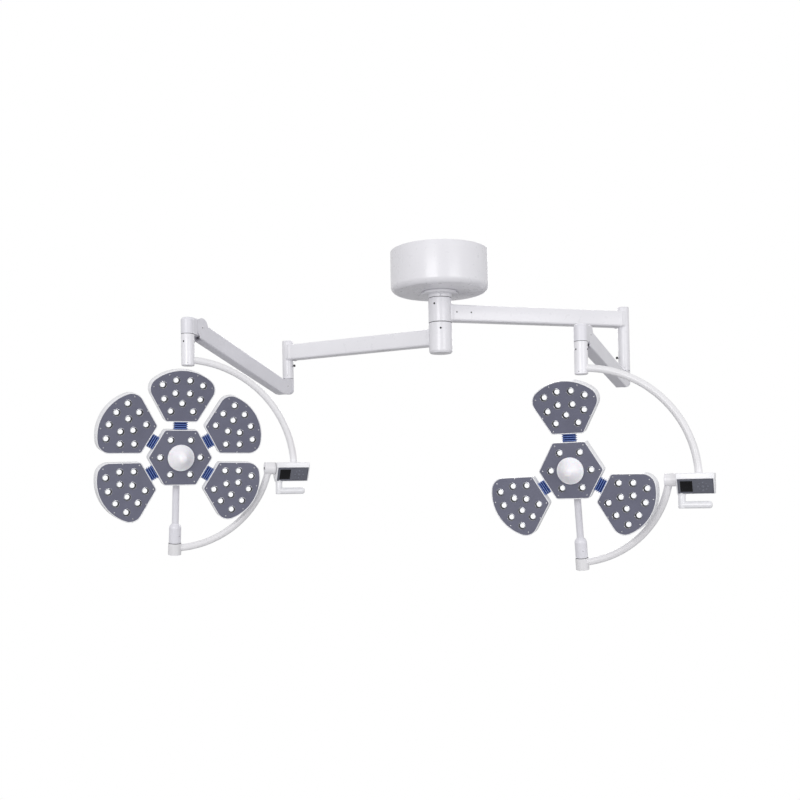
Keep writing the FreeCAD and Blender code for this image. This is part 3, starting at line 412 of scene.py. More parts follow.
def petal_ring(grow):
    """Petal outline offset outwards by grow, counter-clockwise from the inner right corner."""
    angle = math.radians(PETAL_SIDE)
    run = Vector((math.cos(angle), math.sin(angle)))
    inward = Vector((-run.y, run.x))
    foot = Vector((PETAL_HALF, PETAL_INNER)) - inward * grow
    inner = PETAL_INNER - grow
    foot += run * ((inner - foot.y) / run.y)
    small, large, radius = INNER_CORNER + grow, OUTER_CORNER + grow, PETAL_ARC + grow
    small, large = max(small, 0.5), max(large, 0.5)
    middle = Vector((0, PETAL_MID))
    offset = foot + inward * large - middle
    along = offset.dot(run)
    reach = -along + math.sqrt(along * along - offset.length_squared + (radius - large) ** 2)
    centre = foot + inward * large + run * reach
    near = small * math.tan(angle / 2)
    low = Vector((foot.x - near, inner + small))
    right = []
    for k in range(7):
        turn = -math.pi / 2 + angle * k / 6
        right.append(low + Vector((math.cos(turn), math.sin(turn))) * small)
    first = math.atan2(-inward.y, -inward.x)
    last = math.atan2(centre.y - middle.y, centre.x)
    for k in range(13):
        turn = first + (last - first) * k / 12
        right.append(centre + Vector((math.cos(turn), math.sin(turn))) * large)
    for k in range(1, 13):
        turn = last + (math.pi / 2 - last) * k / 12
        right.append(middle + Vector((math.cos(turn), math.sin(turn))) * radius)
    return right + [Vector((-p.x, p.y)) for p in right[-2::-1]]


# ------------------------------------------------------------------ mesh building
SHARP = 35.0            # edges that turn by more than this many degrees stay crisp
X_AS_Z = Matrix(((0, 0, 1, 0), (1, 0, 0, 0), (0, 1, 0, 0), (0, 0, 0, 1)))    # shapes drawn along X


class Shape:
    """A mesh under construction, in millimetres in the local frame `at`."""

    def __init__(self):
        self.bm = bmesh.new()
        self.at = Matrix.Identity(4)
        self.slot = 0

    def vert(self, x, y, z):
        return self.bm.verts.new(self.at @ Vector((x, y, z)))

    def face(self, corners):
        face = self.bm.faces.new(corners)
        face.material_index = self.slot
        return face

    def skin(self, rows, cyclic=False):
        """Joins neighbouring rows of vertices; a row of one vertex is a pole."""
        pairs = list(zip(rows, rows[1:]))
        if cyclic:
            pairs.append((rows[-1], rows[0]))
        for low, high in pairs:
            count = max(len(low), len(high))
            if count == 1:
                continue
            for i in range(count):
                j = (i + 1) % count
                if len(low) == 1:
                    self.face((low[0], high[j], high[i]))
                elif len(high) == 1:
                    self.face((low[i], low[j], high[0]))
                else:
                    self.face((low[i], low[j], high[j], high[i]))

    def stack(self, ring, levels, start_cap=True, end_cap=True):
        """Lofts a ring function through (grow, z) levels."""
        rows = [[self.vert(p.x, p.y, z) for p in ring(grow)] for grow, z in levels]
        self.skin(rows)
        if start_cap:
            self.face(rows[0][::-1])
        if end_cap:
            self.face(rows[-1])
        return rows

    def prism(self, ring, low, high, edge, steps=3):
        """Slab between two heights with rounded upper and lower edges."""
        levels = []
        for k in range(steps + 1):
            turn = math.pi / 2 * k / steps
            levels.append((-edge + edge * math.sin(turn), low + edge - edge * math.cos(turn)))
        for k in range(steps + 1):
            turn = math.pi / 2 * k / steps
            levels.append((-edge + edge * math.cos(turn), high - edge + edge * math.sin(turn)))
        return self.stack(ring, levels)

    def lathe(self, profile, count, cyclic=False):
        """Turns an (r, z) profile about Z; cyclic joins its last point to its first."""
        rows = []
        for radius, z in profile:
            if radius < 1e-6:
                rows.append([self.vert(0, 0, z)])
            else:
                rows.append([self.vert(p.x, p.y, z) for p in circle_points(radius, count)])
        self.skin(rows, cyclic=cyclic)
        return rows

    def tube(self, path, radii, count):
        """Round tube along a path in the X-Z plane of the local frame, closed at both ends."""
        up = Vector((0, 1, 0))
        rows = []
        for i, (x, y, z) in enumerate(path):
            before = Vector(path[max(i - 1, 0)])
            after = Vector(path[min(i + 1, len(path) - 1)])
            along = (after - before).normalized()
            side = along.cross(up).normalized()
            row = []
            for k in range(count):
                turn = 2 * math.pi * k / count
                p = Vector((x, y, z)) + (side * math.cos(turn) + up * math.sin(turn)) * radii[i]
                row.append(self.vert(*p))
            rows.append(row)
        self.skin(rows)
        self.face(rows[0][::-1])
        self.face(rows[-1])

    def screw(self, radius, high, socket=True):
        """Button-head screw with a hexagon socket, standing on z = 0 of the local frame."""
        rows = []
        for r, z in ((radius, -0.6), (radius, high * 0.35), (radius * 0.86, high * 0.8),
                     (radius * 0.6, high)):
            rows.append([self.vert(p.x, p.y, z) for p in circle_points(r, 24)])
        for r, z in ((radius * 0.5, high), (radius * 0.48, high * 0.3)):
            row = []
            for p in circle_points(r, 24):
                turn = math.atan2(p.y, p.x) % (math.pi / 3) - math.pi / 6
                scale = math.cos(math.pi / 6) / math.cos(turn) if socket else 1.0
                row.append(self.vert(p.x * scale, p.y * scale, z))
            rows.append(row)
        self.skin(rows)
        self.face(rows[0][::-1])
        self.face(rows[-1])

    def pierced(self, ring, holes, front, back):
        """Plate with round holes (x, y, radius), lightly chamfered at every front edge."""
        edge, sides = 0.5, 40
        outer = self.stack(ring, [(0, back), (0, front - edge), (-edge, front)], False, False)
        back_loops, front_loops = [outer[0]], [outer[-1]]
        for x, y, radius in holes:
            rows = []
            for r, z in ((radius, back), (radius, front - edge), (radius + edge, front)):
                rows.append([self.vert(p.x, p.y, z) for p in circle_points(r, sides, x, y)])
            for low, high in zip(rows, rows[1:]):
                for i in range(sides):
                    j = (i + 1) % sides
                    self.face((low[j], low[i], high[i], high[j]))
            back_loops.append(rows[0])
            front_loops.append(rows[-1])
        for group in (back_loops, front_loops):
            edges = []
            for loop in group:
                for i, vert in enumerate(loop):
                    edges.append(self.bm.edges.get((vert, loop[(i + 1) % len(loop)])))
            filled = bmesh.ops.triangle_fill(self.bm, edges=edges, use_beauty=True)
            for item in filled["geom"]:
                if isinstance(item, bmesh.types.BMFace):
                    item.material_index = self.slot

    def finish(self, name, place, materials, sharp=SHARP):
        """Turns the shape into an object in the frame's own coordinates."""
        bmesh.ops.recalc_face_normals(self.bm, faces=self.bm.faces)
        mesh = bpy.data.meshes.new(name)
        self.bm.to_mesh(mesh)
        self.bm.free()
        mesh.transform(place)
        for material in materials:
            mesh.materials.append(material)
        mesh.shade_smooth()
        mesh.set_sharp_from_angle(angle=math.radians(sharp))
        piece = bpy.data.objects.new(name, mesh)
        scene.collection.objects.link(piece)
        return piece


def register(piece, body, slot, *nodes):
    """Hangs a piece on its body and hides the CAD nodes that it stands for; slot, what it is made of, is
    not used.
    """
    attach(piece, body)
    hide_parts(*nodes)


def rounded(points, radius, steps):
    """(r, z) profile with its inner corners rounded; radius may be a list."""
    return [tuple(p) for p in fillet(points, radius, steps, closed=False)]


def finish_cad(node, material):
    """Gives a CAD node that stays its surface."""
    obj = frame["nodes"][node]
    obj.data.materials.clear()
    obj.data.materials.append(material)


# ------------------------------------------------------------------ ceiling cover and hubs
COVER_RAD, COVER_DEEP, COVER_WALL = 200, 168, 2.5
COLLAR_RAD, FLANGE_RAD, HUB_RAD = 48, 76, 48
BEAM_HALF = (30.5, 33)      # half the width and half the height of an extension arm
TUBE_RAD = 24.5             # drop tubes
SLEEVE_RAD = 24.3           # swivel sleeves


def front_screw(shape, angle, radius, z, size, socket=True):
    """Screw standing on a vertical cylinder of the local frame, at an angle about Z."""
    keep = shape.at.copy()
    shape.at = keep @ spin(angle) @ shift(radius, 0, z) @ spin(90, "Y")
    shape.screw(size, size * 0.4, socket)
    shape.at = keep


def ceiling():
    """Moulded cover with its flange ring, collar and screws."""
    cover = Shape()
    inside = COVER_RAD - COVER_WALL
    floor = COVER_WALL - COVER_DEEP
    profile = [(COVER_RAD - 1, -2), (COVER_RAD, -3), (COVER_RAD, -COVER_DEEP), (38, -COVER_DEEP),
               (38, floor), (inside, floor), (inside, -2), (COVER_RAD - 1, -2)]
    cover.lathe(rounded(profile, [0, 0.5, 24, 0.8, 0.8, 21.5, 0, 0], 10), 160)
    piece = cover.finish("ceiling_cover", WORLD, [PAINT], 40)
    register(piece, "base", "white_paint", "ceiling_canopy")

    collar = Shape()
    profile = [(36, -168.2), (74, -168.2), (FLANGE_RAD, -169.5), (FLANGE_RAD, -178.6), (49.5, -179.6),
               (COLLAR_RAD, -182), (COLLAR_RAD, -191), (46.2, -192), (36, -192)]
    collar.lathe(rounded(profile, [0, 1, 1.2, 2.5, 2, 1.5, 0.6, 0.5, 0], 5), 96, True)
    collar.slot = 1
    for angle in (-86, 34, 154):
        front_screw(collar, angle, 47.8, -186.6, 3.9, False)
        front_screw(collar, angle + 60, FLANGE_RAD, -173.8, 2.6)
    piece = collar.finish("cover_collar", WORLD, [PAINT, SCREW])
    register(piece, "base", "white_paint", "canopy_collar")

    screws = Shape()
    for angle in (1, 91, 179):
        screws.at = spin(angle) @ shift(199.6, 0, -98) @ spin(90, "Y")
        screws.screw(3.5, 1.2)
    piece = screws.finish("cover_screws", WORLD, [SCREW])
    register(piece, "base", "bright_steel")

    for node, material in (("ceiling_plate", PRIMER), ("power_units", PRIMER),
                           ("ceiling_spindle", STEEL), ("spindle_bushes", BLACK)):
        finish_cad(node, material)


def hub(side):
    """Rotating hub with a dark ring in its seam, brake screw and, on the lower one, a closed end."""
    low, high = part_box(side + "_arm_hub")
    low, high = low.z / MM, high.z / MM
    shape = Shape()
    first = (39, high - 0.6)
    profile = [first, (46.4, high - 0.6), (HUB_RAD, high - 2.2)]
    if side == "left":
        profile += [(HUB_RAD, low + 8), (43, low), (0, low), (0, low + 5), (38, low + 5), first]
        shape.lathe(rounded(profile, [0, 0.4, 1, 4, 4, 0, 0, 0, 0], 5), 96)
    else:
        profile += [(HUB_RAD, low + 2.2), (46.4, low + 0.6), (39, low + 0.6), first]
        shape.lathe(rounded(profile, [0, 0.4, 1, 1, 0.4, 0, 0], 4), 96)
    # a dark grey ring fills the seam between the hubs
    shape.slot = 1
    shape.lathe([(40, high - 1.5), (46.6, high - 1.5), (46.6, high + 1.6), (40, high + 1.6)], 96, True)
    shape.slot = 2
    front = -88 if side == "left" else -118
    for angle in (front, front + 120, front + 240):
        front_screw(shape, angle, HUB_RAD - 0.4, high - 27, 4.2)
    piece = shape.finish(side + "_hub_shell", WORLD, [PAINT, GAP, BLACK])
    register(piece, side + "_arm", "white_paint", side + "_arm_hub")


def beam(side):
    """Extension arm tube with flared ends, drop tube, cap and brake knob."""
    place = PLACES[side]["beam"]
    long = BEAM_LONG[side]
    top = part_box(side + "_extension_arm")[1].z / MM - 20
    mid = top - 33
    ring = box_ring(*BEAM_HALF, 8)
    shape = Shape()
    shape.at = shift(0, 0, mid) @ X_AS_Z
    levels = [(2.2, 36), (2.2, 43), (1.2, 46.5), (0.3, 49), (0, 52)]
    levels += [(0, long * part) for part in (0.25, 0.5, 0.75)]
    levels += [(0, long - 34), (0.4, long - 31), (1.4, long - 28.5), (2.4, long - 26), (2.4, long - 22),
               (0.1, long - 19.5), (0.1, long - 8)]
    shape.stack(ring, levels)
    piece = shape.finish(side + "_beam", place, [PAINT])
    register(piece, side + "_arm", "white_paint", side + "_extension_arm")

    foot = 37 - (-joint_at(side + "_base_swivel").z / MM)
    head = top + 20
    drop = Shape()
    drop.at = shift(long, 0, 0)
    drop.lathe(rounded([(17, foot), (22.8, foot), (TUBE_RAD, foot + 1.8), (TUBE_RAD, head - 5),
                        (22.5, head - 4.2), (17, head - 4.2), (17, foot)],
                       [0, 0.4, 1, 0.8, 0.4, 0, 0], 4), 64)
    drop.lathe([(0, head - 12), (20, head - 12), (23.2, head - 3.6), (23.9, head - 1.6),
                (22.6, head - 0.2), (20.5, head), (9, head), (8.2, head - 1), (0, head - 1)], 64)
    drop.slot = 1
    for i in range(4):
        drop.at = shift(long, 0, 0) @ spin(45 + 90 * i) @ shift(15, 0, head)
        drop.screw(1.9, 0.8)
    drop.at = shift(long, 0, 0)
    for angle in (0, -120, 120):
        front_screw(drop, angle, TUBE_RAD - 0.3, foot + 14, 2.0)
    piece = drop.finish(side + "_drop_tube", place, [PAINT, SCREW])
    register(piece, side + "_arm", "white_paint", side + "_extension_arm")

    knob = Shape()
    knob.at = shift(long, 0, foot + 57) @ spin(180) @ spin(90, "Y")
    knob.slot = 1
    knob.lathe(rounded([(0, 23), (4, 23), (4, 32), (0, 32)], 0.4, 2), 24)
    knob.slot = 0
    rows = []
    for scale, z in ((0.8, 31), (0.97, 31.6), (1, 32.4), (1, 35.8), (0.95, 36.8), (0.8, 37)):
        row = []
        for i in range(60):
            turn = 2 * math.pi * i / 60
            radius = 5.6 * scale * (1 - 0.05 * (1 + math.cos(turn * 12)) / 2)
            row.append(knob.vert(radius * math.cos(turn), radius * math.sin(turn), z))
        rows.append(row)
    knob.skin(rows)
    knob.face(rows[0][::-1])
    knob.face(rows[-1])
    piece = knob.finish(side + "_brake_knob", place, [BLACK, STEEL])
    register(piece, side + "_arm", "dark_plastic", side + "_extension_arm")

    if side == "right":
        dots = Shape()
        for x in (62, 124):
            dots.at = shift(x, -30.4, mid + 2) @ spin(90, "X")
            dots.screw(3.0, 0.9)
        piece = dots.finish("right_beam_screws", place, [BLACK])
        register(piece, "right_arm", "dark_plastic")


# ------------------------------------------------------------------ spring arm
def spring_arm(side):
    long = ARM_LONG[side]
    for node in ("root_knuckle", "spring_arm", "nose"):
        finish_cad(f"{side}_{node}", ARM_PAINT_AND_POST_SHADE)
    for node in ("counter_spring", "arm_pins", "link_rod"):
        finish_cad(f"{side}_{node}", STEEL)
    caps = Shape()
    for x in (0, long):
        for turn in (90, -90):
            caps.at = shift(x, 0, 0) @ spin(turn, "X") @ shift(0, 0, 22.4)
            caps.slot = 0
            caps.lathe([(0, -1), (7.5, -1), (7.5, 0.1), (7.1, 0.5), (4.2, 0.6), (4.0, 0.2),
                        (0, 0.2)], 32)
            caps.slot = 1
            caps.screw(2.6, 0.7)
    piece = caps.finish(side + "_pivot_caps", PLACES[side]["arm"], [PAINT, BLACK])
    register(piece, side + "_lift_arm", "white_paint")

    ring = Shape()
    ring.at = shift(65, 0, 0)
    ring.lathe([(19, -33.2), (23.2, -33.2), (23.2, -29.6), (19, -29.6)], 64, True)
    piece = ring.finish(side + "_nose_seal", PLACES[side]["front"], [GAP])
    register(piece, side + "_nose_block", "dark_plastic")

    ring = Shape()
    ring.at = shift(-44, 0, 0)
    ring.lathe([(19, 34.4), (23.4, 34.4), (23.4, 38.2), (19, 38.2)], 64, True)
    piece = ring.finish(side + "_knuckle_seal", PLACES[side]["root"], [GAP])
    register(piece, side + "_knuckle", "dark_plastic")


# ------------------------------------------------------------------ yoke and control box
PANEL_HALF = (58.5, 30)     # half the width and half the height of the control panel
GRIP_RAD = 12.5


def cut(piece, tool):
    """Subtracts tool from piece for good."""
    modifier = piece.modifiers.new("cut", "BOOLEAN")
    modifier.operation = "DIFFERENCE"
    modifier.solver = "EXACT"
    modifier.object = tool
    graph = bpy.context.evaluated_depsgraph_get()
    result = bpy.data.meshes.new_from_object(piece.evaluated_get(graph))
    piece.modifiers.clear()
    piece.data = result
    bpy.data.objects.remove(tool)
    result.shade_smooth()
    result.set_sharp_from_angle(angle=math.radians(SHARP))


def yoke(side):
    place = PLACES[side]["yoke"]
    for node in ("upper_arc", "lower_arc"):
        finish_cad(f"{side}_{node}", TUBE_PAINT)
    tube = Shape()
    profile = [(17, 500), (22.7, 500), (SLEEVE_RAD, 498.3), (SLEEVE_RAD, 385), (21.3, 382),
               (0, 382), (0, 390), (17, 390), (17, 500)]
    tube.lathe(rounded(profile, [0, 0.4, 1, 2.2, 1, 0, 0, 0, 0], 4), 64)
    tube.slot = 1
    first = -135 if side == "left" else -125
    for angle in (first, first + 120, first + 240):
        front_screw(tube, angle, SLEEVE_RAD - 0.3, 471, 3.2)
    front_screw(tube, -100, SLEEVE_RAD - 0.3, 391, 1.6)
    piece = tube.finish(side + "_swivel_sleeve", place, [PAINT, BLACK])
    register(piece, side + "_yoke", "white_paint", side + "_swivel_tube")

    section = [(38, 21), (-42, 21), (-42, 2), (-5, -50), (20, -50), (38, -30)]
    case = Shape()
    case.at = X_AS_Z
    case.prism(polygon_ring(section, 3.5), 321, 447, 2.5, 4)
    box = case.finish(side + "_control_case", place, [PLASTIC])
    slanted = make_panel_frame(place)
    tool = Shape()
    tool.prism(box_ring(PANEL_HALF[0] + 0.6, PANEL_HALF[1] + 0.6, 2.5), -1.6, 8, 0.2)
    cut(box, tool.finish("tool", slanted, [PLASTIC]))
    register(box, side + "_yoke", "white_plastic", side + "_control_box")

    boss = Shape()
    boss.at = spin(90, "Y")
    profile = [(0, 287), (10, 287), (10, 318), (17, 319.8), (19, 321.5), (0, 321.5)]
    boss.lathe(rounded(profile, 0.5, 2), 48)
    boss.slot = 1
    boss.lathe([(11, 318.6), (21.6, 318.6), (21.6, 321.8), (11, 321.8)], 64, True)
    piece = boss.finish(side + "_tilt_stub", place, [STEEL, GAP])
    register(piece, side + "_yoke", "dark_plastic", side + "_control_box")
    control_panel(side, slanted)

    grip = Shape()
    start, finish, end_round = 336, 427, 9
    path = [(x, 7, -87) for x in (start, 370, 400, finish)]
    radii = [GRIP_RAD] * len(path)
    for k in range(1, 7):
        turn = math.pi / 2 * k / 6
        path.append((finish + end_round * math.sin(turn), 7, -87))
        radii.append(GRIP_RAD - end_round + end_round * math.cos(turn))
    grip.tube(path, radii, 40)
    grip.at = shift(start, 7, 0)
    grip.lathe(rounded([(0, -42), (GRIP_RAD, -42), (GRIP_RAD, -99.5), (0, -99.5)], 4, 5), 40)
    grip.lathe(rounded([(0, -53), (14.2, -53), (14.2, -42), (0, -42)], 1.2, 3), 40)
    piece = grip.finish(side + "_side_grip", place, [PLASTIC])
    register(piece, side + "_yoke", "white_plastic", side + "_grip_handle")


def make_panel_frame(place):
    """Frame at the middle of the control box's slanted front, Z outwards."""
    middle, run = 384, 31.9
    back, down = 0.5797, 0.8148     # direction of the slope
    slope = Matrix(((1, 0, 0, middle), (0, -back, -down, -42 + run * back),
                    (0, down, -back, 2 - run * down), (0, 0, 0, 1)))
    return place @ slope


def control_panel(side, place):
    """Membrane panel: border, film, screen with its bezel, and a ring of keys round one key."""
    border, film, bezel, screen, print_on = range(5)
    wide, high = PANEL_HALF
    screen_at, keys_at, keys_out = shift(-30, 0, 0), shift(24, 0, 0), shift(16, 0, 0)
    panel = Shape()
    for at, slot, ring, low, top, edge in (
            (shift(), border, box_ring(wide, high, 2), -1.5, 0.1, 0.3),
            (shift(), film, box_ring(wide - 3, high - 3, 2), -0.5, 0.45, 0.2),
            (screen_at, bezel, box_ring(20.5, 22.5, 1), -0.5, 0.95, 0.3),
            (screen_at, screen, box_ring(19.3, 21.3, 0.8), 0.0, 1.15, 0.2),
            (shift(24.25), film, box_ring(28.25, 23.5, 3), -0.5, 0.75, 0.3)):
        panel.at, panel.slot = at, slot
        panel.prism(ring, low, top, edge)
    for i in range(8):
        panel.at = keys_at @ spin(45 * i) @ keys_out
        panel.slot = film
        panel.prism(box_ring(3.6, 4.2, 1.6), 0.5, 1.05, 0.3)
        panel.slot = print_on
        if i % 2:
            panel.prism(box_ring(2, 0.55, 0.3), 0.9, 1.25, 0.1)
        else:
            panel.lathe([(1.4, 1.0), (2.3, 1.0), (2.3, 1.25), (1.4, 1.25)], 20, True)
    panel.at = keys_at
    panel.slot = film
    panel.lathe(rounded([(0, 0.5), (6.4, 0.5), (6.4, 1.1), (0, 1.1)], 0.4, 2), 32)
    panel.slot = print_on
    panel.lathe([(2.6, 1.0), (3.7, 1.0), (3.7, 1.3), (2.6, 1.3)], 24, True)
    piece = panel.finish(side + "_keypad", place, [PANEL_EDGE, PANEL, BLACK, GLASS, ICON])
    register(piece, side + "_yoke", "panel_dark", side + "_control_panel")


def tilt_joint(side):
    """Seal ring and end cap of the tilt barrel on the lower arc."""
    shape = Shape()
    shape.at = spin(90, "Y")
    shape.lathe(rounded([(0, 279.6), (19.5, 279.6), (21.5, 281.4), (0, 281.4)], [0, 1, 0.6, 0], 3), 64)
    shape.lathe([(23.0, 284), (23.25, 284.4), (23.25, 286.6), (23.0, 287)], 64, True)
    shape.slot = 1
    shape.at = shift(280, 0, 0) @ spin(-90, "Y")
    shape.screw(5.0, 1.8)
    piece = shape.finish(side + "_tilt_cap", PLACES[side]["pitched"], [PAINT, BLACK])
    register(piece, side + "_tilt_arc", "white_paint")
    shape = Shape()
    shape.lathe([(15, -330.2), (22.4, -330.2), (22.4, -327.9), (15, -327.9)], 64, True)
    piece = shape.finish(side + "_post_seal", PLACES[side]["head"], [GAP])
    register(piece, side + "_tilt_arc", "dark_plastic")


# ------------------------------------------------------------------ lamp head
POST_RAD = 12.5
LENS_HOLE = 13.0
LENS_RAD = 9.9
HUB_LENSES = [(72.6 * math.cos(math.radians(60 * i)), 72.6 * math.sin(math.radians(60 * i)))
              for i in range(6)]
HUB_SCREWS = [(102 * math.cos(math.radians(60 * i)), 102 * math.sin(math.radians(60 * i)))
              for i in range(6)]
PETAL_LENSES = [(-72, 264), (72, 264), (-25, 281), (25, 281), (-65, 213), (65, 213), (-26, 234),
                (26, 234), (0, 198), (-40, 169), (40, 169)]
PETAL_SCREWS = [(-50, 300), (50, 300), (-104, 257), (104, 257), (-84, 191), (84, 191), (-50, 142),
                (50, 142)]


def lamp_plate(name, place, ring, lenses, screws, middle, body, node):
    """Grey face plate with bored lens holes, lens units and screws."""
    plate = Shape()
    holes = [(x, y, LENS_HOLE + 0.6) for x, y in lenses]
    if middle:
        holes.append((0, 0, middle))
    plate.pierced(ring, holes, -0.5, -3.4)
    piece = plate.finish(name + "_face", place, [FACE])
    register(piece, body, "face_grey", node)

    optics = Shape()
    across = optics.bm.verts.layers.float.new("across")
    for x, y in lenses:
        optics.at = shift(x, y, 0)
        optics.slot = 0
        optics.lathe([(LENS_HOLE - 0.3, -3.2), (LENS_HOLE + 0.5, -3.2), (LENS_HOLE + 0.6, -0.3),
                      (LENS_HOLE + 0.3, 0.1), (LENS_HOLE - 0.2, 0.2), (LENS_HOLE - 0.6, -0.2)], 40, True)
        optics.slot = 1
        optics.lathe([(LENS_HOLE - 0.5, -0.6), (LENS_HOLE - 0.9, -6.0), (LENS_RAD + 0.2, -11.0),
                      (LENS_RAD - 0.3, -11.8), (LENS_HOLE + 0.2, -11.8), (LENS_HOLE + 0.2, -3.4)],
                     40, True)
        optics.slot = 2
        profile = [(0, -12.8), (LENS_RAD, -12.8)]
        profile += [(LENS_RAD * math.cos(math.radians(a)), -10.8 + 4.0 * math.sin(math.radians(a)))
                    for a in (0, 12, 24, 36, 48, 60, 72, 82)]
        profile.append((0, -6.8))
        for row, (radius, _) in zip(optics.lathe(profile, 40), profile):
            for vert in row:
                vert[across] = radius / LENS_RAD
    piece = optics.finish(name + "_lenses", place, [BEZEL, CUP, LENS_GLOW])
    register(piece, body, "bright_steel", node)

    fixings = Shape()
    for i, (x, y) in enumerate(screws):
        fixings.at = shift(x, y, -0.5) @ spin(17 * i)
        fixings.screw(2.7, 1.1)
    piece = fixings.finish(name + "_screws", place, [SCREW])
    register(piece, body, "bright_steel", node)


def shell_levels(deep, rounding, groove):
    """(grow, z) levels of a housing from its inner floor, over the front rim, to the back."""
    levels = [(-6, -30), (-5, -4.4), (0.35, -3.9), (0.35, -0.7), (0.9, -0.15), (1.4, 0), (2.6, 0),
              (3.2, -0.3), (3.5, -1.0), (3.5, groove + 0.7), (3.0, groove + 0.3), (3.0, groove - 0.7),
              (3.5, groove - 1.2)]
    for k in range(7):
        turn = math.pi / 2 * k / 6
        levels.append((3.5 - rounding + rounding * math.cos(turn),
                       -deep + rounding - rounding * math.sin(turn)))
    return levels


def hub_head(side):
    place = PLACES[side]["face"]
    body = side + "_head"
    ring = hexagon_ring(98, 8)
    case = Shape()
    levels = shell_levels(40, 6, -14)
    rows = [[case.vert(p.x, p.y, z) for p in ring(grow)] for grow, z in levels]
    starts = [math.atan2(p.y, p.x) for p in ring(0)]
    dome = [(102.6, -39.0), (104.2, -40.6), (104.2, -43.5), (102.5, -49), (98.5, -55), (92.5, -60.5),
            (84.5, -65.5), (74.5, -69.8), (62, -73.6), (48, -76.7), (32, -78.8), (16, -79.7)]
    for radius, z in dome:
        rows.append([case.vert(radius * math.cos(a), radius * math.sin(a), z) for a in starts])
    rows.append([case.vert(0, 0, -80)])
    case.skin(rows)
    case.face(rows[0][::-1])
    case.at = shift(0, 0, -62) @ spin(90, "X")
    profile = [(0, 20), (18, 20), (18, 93.5), (16.5, 95), (0, 95)]
    case.lathe(rounded(profile, [0, 0.5, 1.5, 0.5, 0], 3), 48)
    case.slot = 1
    case.at = shift(0, 0, -79.2) @ spin(180, "X")
    case.lathe(rounded([(0, -2), (27, -2), (27, 0.6), (24, 0.8), (23.4, 0.3), (0, 0.3)], 0.3, 2), 64)
    case.slot = 2
    for i in range(6):
        angle = math.radians(60 * i + 30)
        case.at = (shift(80 * math.cos(angle), 80 * math.sin(angle), -67.5)
                   @ Matrix.Rotation(angle, 4, "Z") @ spin(157, "Y"))
        case.screw(3.0, 1.2)
    piece = case.finish(side + "_hub_shell_rear", place, [PLASTIC, PLASTIC, SCREW])
    register(piece, body, "white_plastic", side + "_hub_housing")
    lamp_plate(side + "_hub", place, ring, HUB_LENSES, HUB_SCREWS, 9.0, body, side + "_hub_lamp")

    handle = Shape()
    profile = [(0, -33), (8, -33), (8, 0.2), (45.5, 0.2), (48, 1.4), (48, 6.2), (46.2, 8.6),
               (44.5, 9.0), (13.5, 42.5), (0, 48)]
    handle.lathe(rounded(profile, [0, 0.5, 0.4, 0.8, 1, 1.2, 0.4, 0.8, 14, 0], 6), 96)
    piece = handle.finish(side + "_focus_cone", place, [CONE], 30)
    register(piece, side + "_handle", "white_plastic", side + "_focus_handle")

    post = Shape()
    low, top = -364, -328.2
    profile = [(0, low), (14, low), (14, top), (20.6, top), (22, top + 1.6), (22, -270), (20, -263),
               (POST_RAD, -254), (POST_RAD, -36), (0, -36)]
    post.lathe(rounded(profile, [0, 0, 0, 0.4, 0.8, 5, 5, 4, 0, 0], 5), 64)
    post.slot = 1
    front_screw(post, -60, 21.8, -300, 2.2)
    front_screw(post, 120, 21.8, -300, 2.2)
    # painted shade: the post takes the greyer arm coat for the shadow that falls on it under the head
    piece = post.finish(side + "_head_post", PLACES[side]["head"], [ARM_PAINT_AND_POST_SHADE, SCREW])
    register(piece, body, "white_paint", side + "_post")


def petal(side, number):
    level, place = petal_frames(side, number)
    name = f"{side}_petal_{number}"
    shell = Shape()
    levels = shell_levels(45, 9, -13)
    levels += [(-12, -45), (-13, -44.6), (-13.6, -43.4), (-15, -43.2)]
    shell.stack(petal_ring, levels)
    vent = box_ring(13, 1.6, 1.5)
    shell.slot = 1
    for x in (-22, 22):
        for k in range(5):
            shell.at = shift(x, 205 + 9 * k, 0)
            shell.prism(vent, -44.0, -43.0, 0.2, 1)
    shell.slot = 2
    for x, y in ((-74, 262), (74, 262), (-44, 166), (44, 166)):
        shell.at = shift(x, y, -43.2) @ spin(180, "X")
        shell.screw(3.2, 1.4)
    shell.slot = 0
    shell.at = X_AS_Z
    tongue = polygon_ring([(HINGE_OUT, -22), (134, -22), (134, -14), (HINGE_OUT, -14)], 1)
    shell.prism(tongue, -9, 9, 0.8)
    shell.at = shift(0, HINGE_OUT, -HINGE_BACK) @ spin(90, "Y")
    shell.lathe([(2.8, -13), (5.5, -13), (5.5, 13), (2.8, 13)], 32, True)
    shell.at = Matrix.Identity(4)
    piece = shell.finish(name + "_shell", place, [PLASTIC, GAP, SCREW])
    register(piece, name, "white_plastic", name + "_housing")
    lamp_plate(name, place, petal_ring, PETAL_LENSES, PETAL_SCREWS, 0, name, name + "_lamp")
    boot(side, number, level)


def boot(side, number, place):
    """Ribbed rubber bellows over the hinge, between the hub and the petal."""
    shape = Shape()
    start, finish, ribs = 101.4, 131.8, 4
    shape.at = Matrix(((1, 0, 0, 0), (0, 0, -1, 0), (0, 1, 0, -18), (0, 0, 0, 1)))
    steps = ribs * 8
    # crest is the rib height, which the rubber turns into a painted highlight on the rib tops
    crest = shape.bm.verts.layers.float.new("crest")
    rows = []
    for k in range(steps + 1):
        part = k / steps
        wave = (0.5 - 0.5 * math.cos(2 * math.pi * ribs * part)) ** 0.8
        grow = -0.4 if k in (0, steps) else -4.6 + 5.6 * wave
        y = start + (finish - start) * part
        ring = box_ring(25, 13.2, 5)(grow)
        rows.append([shape.vert(p.x, p.y, -y) for p in ring])
        for vert in rows[-1]:
            vert[crest] = wave
    shape.skin(rows)
    shape.face(rows[0][::-1])
    shape.face(rows[-1])
    name = f"{side}_petal_{number}"
    piece = shape.finish(name + "_boot", place, [RUBBER], 60)
    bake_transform(piece)
    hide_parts(side + "_bellows")


# ------------------------------------------------------------------ whole light
ceiling()
for side in SIDES:
    hub(side)
    beam(side)
    spring_arm(side)
    yoke(side)
    tilt_joint(side)
    hub_head(side)
    for number in PETALS[side]:
        petal(side, number)


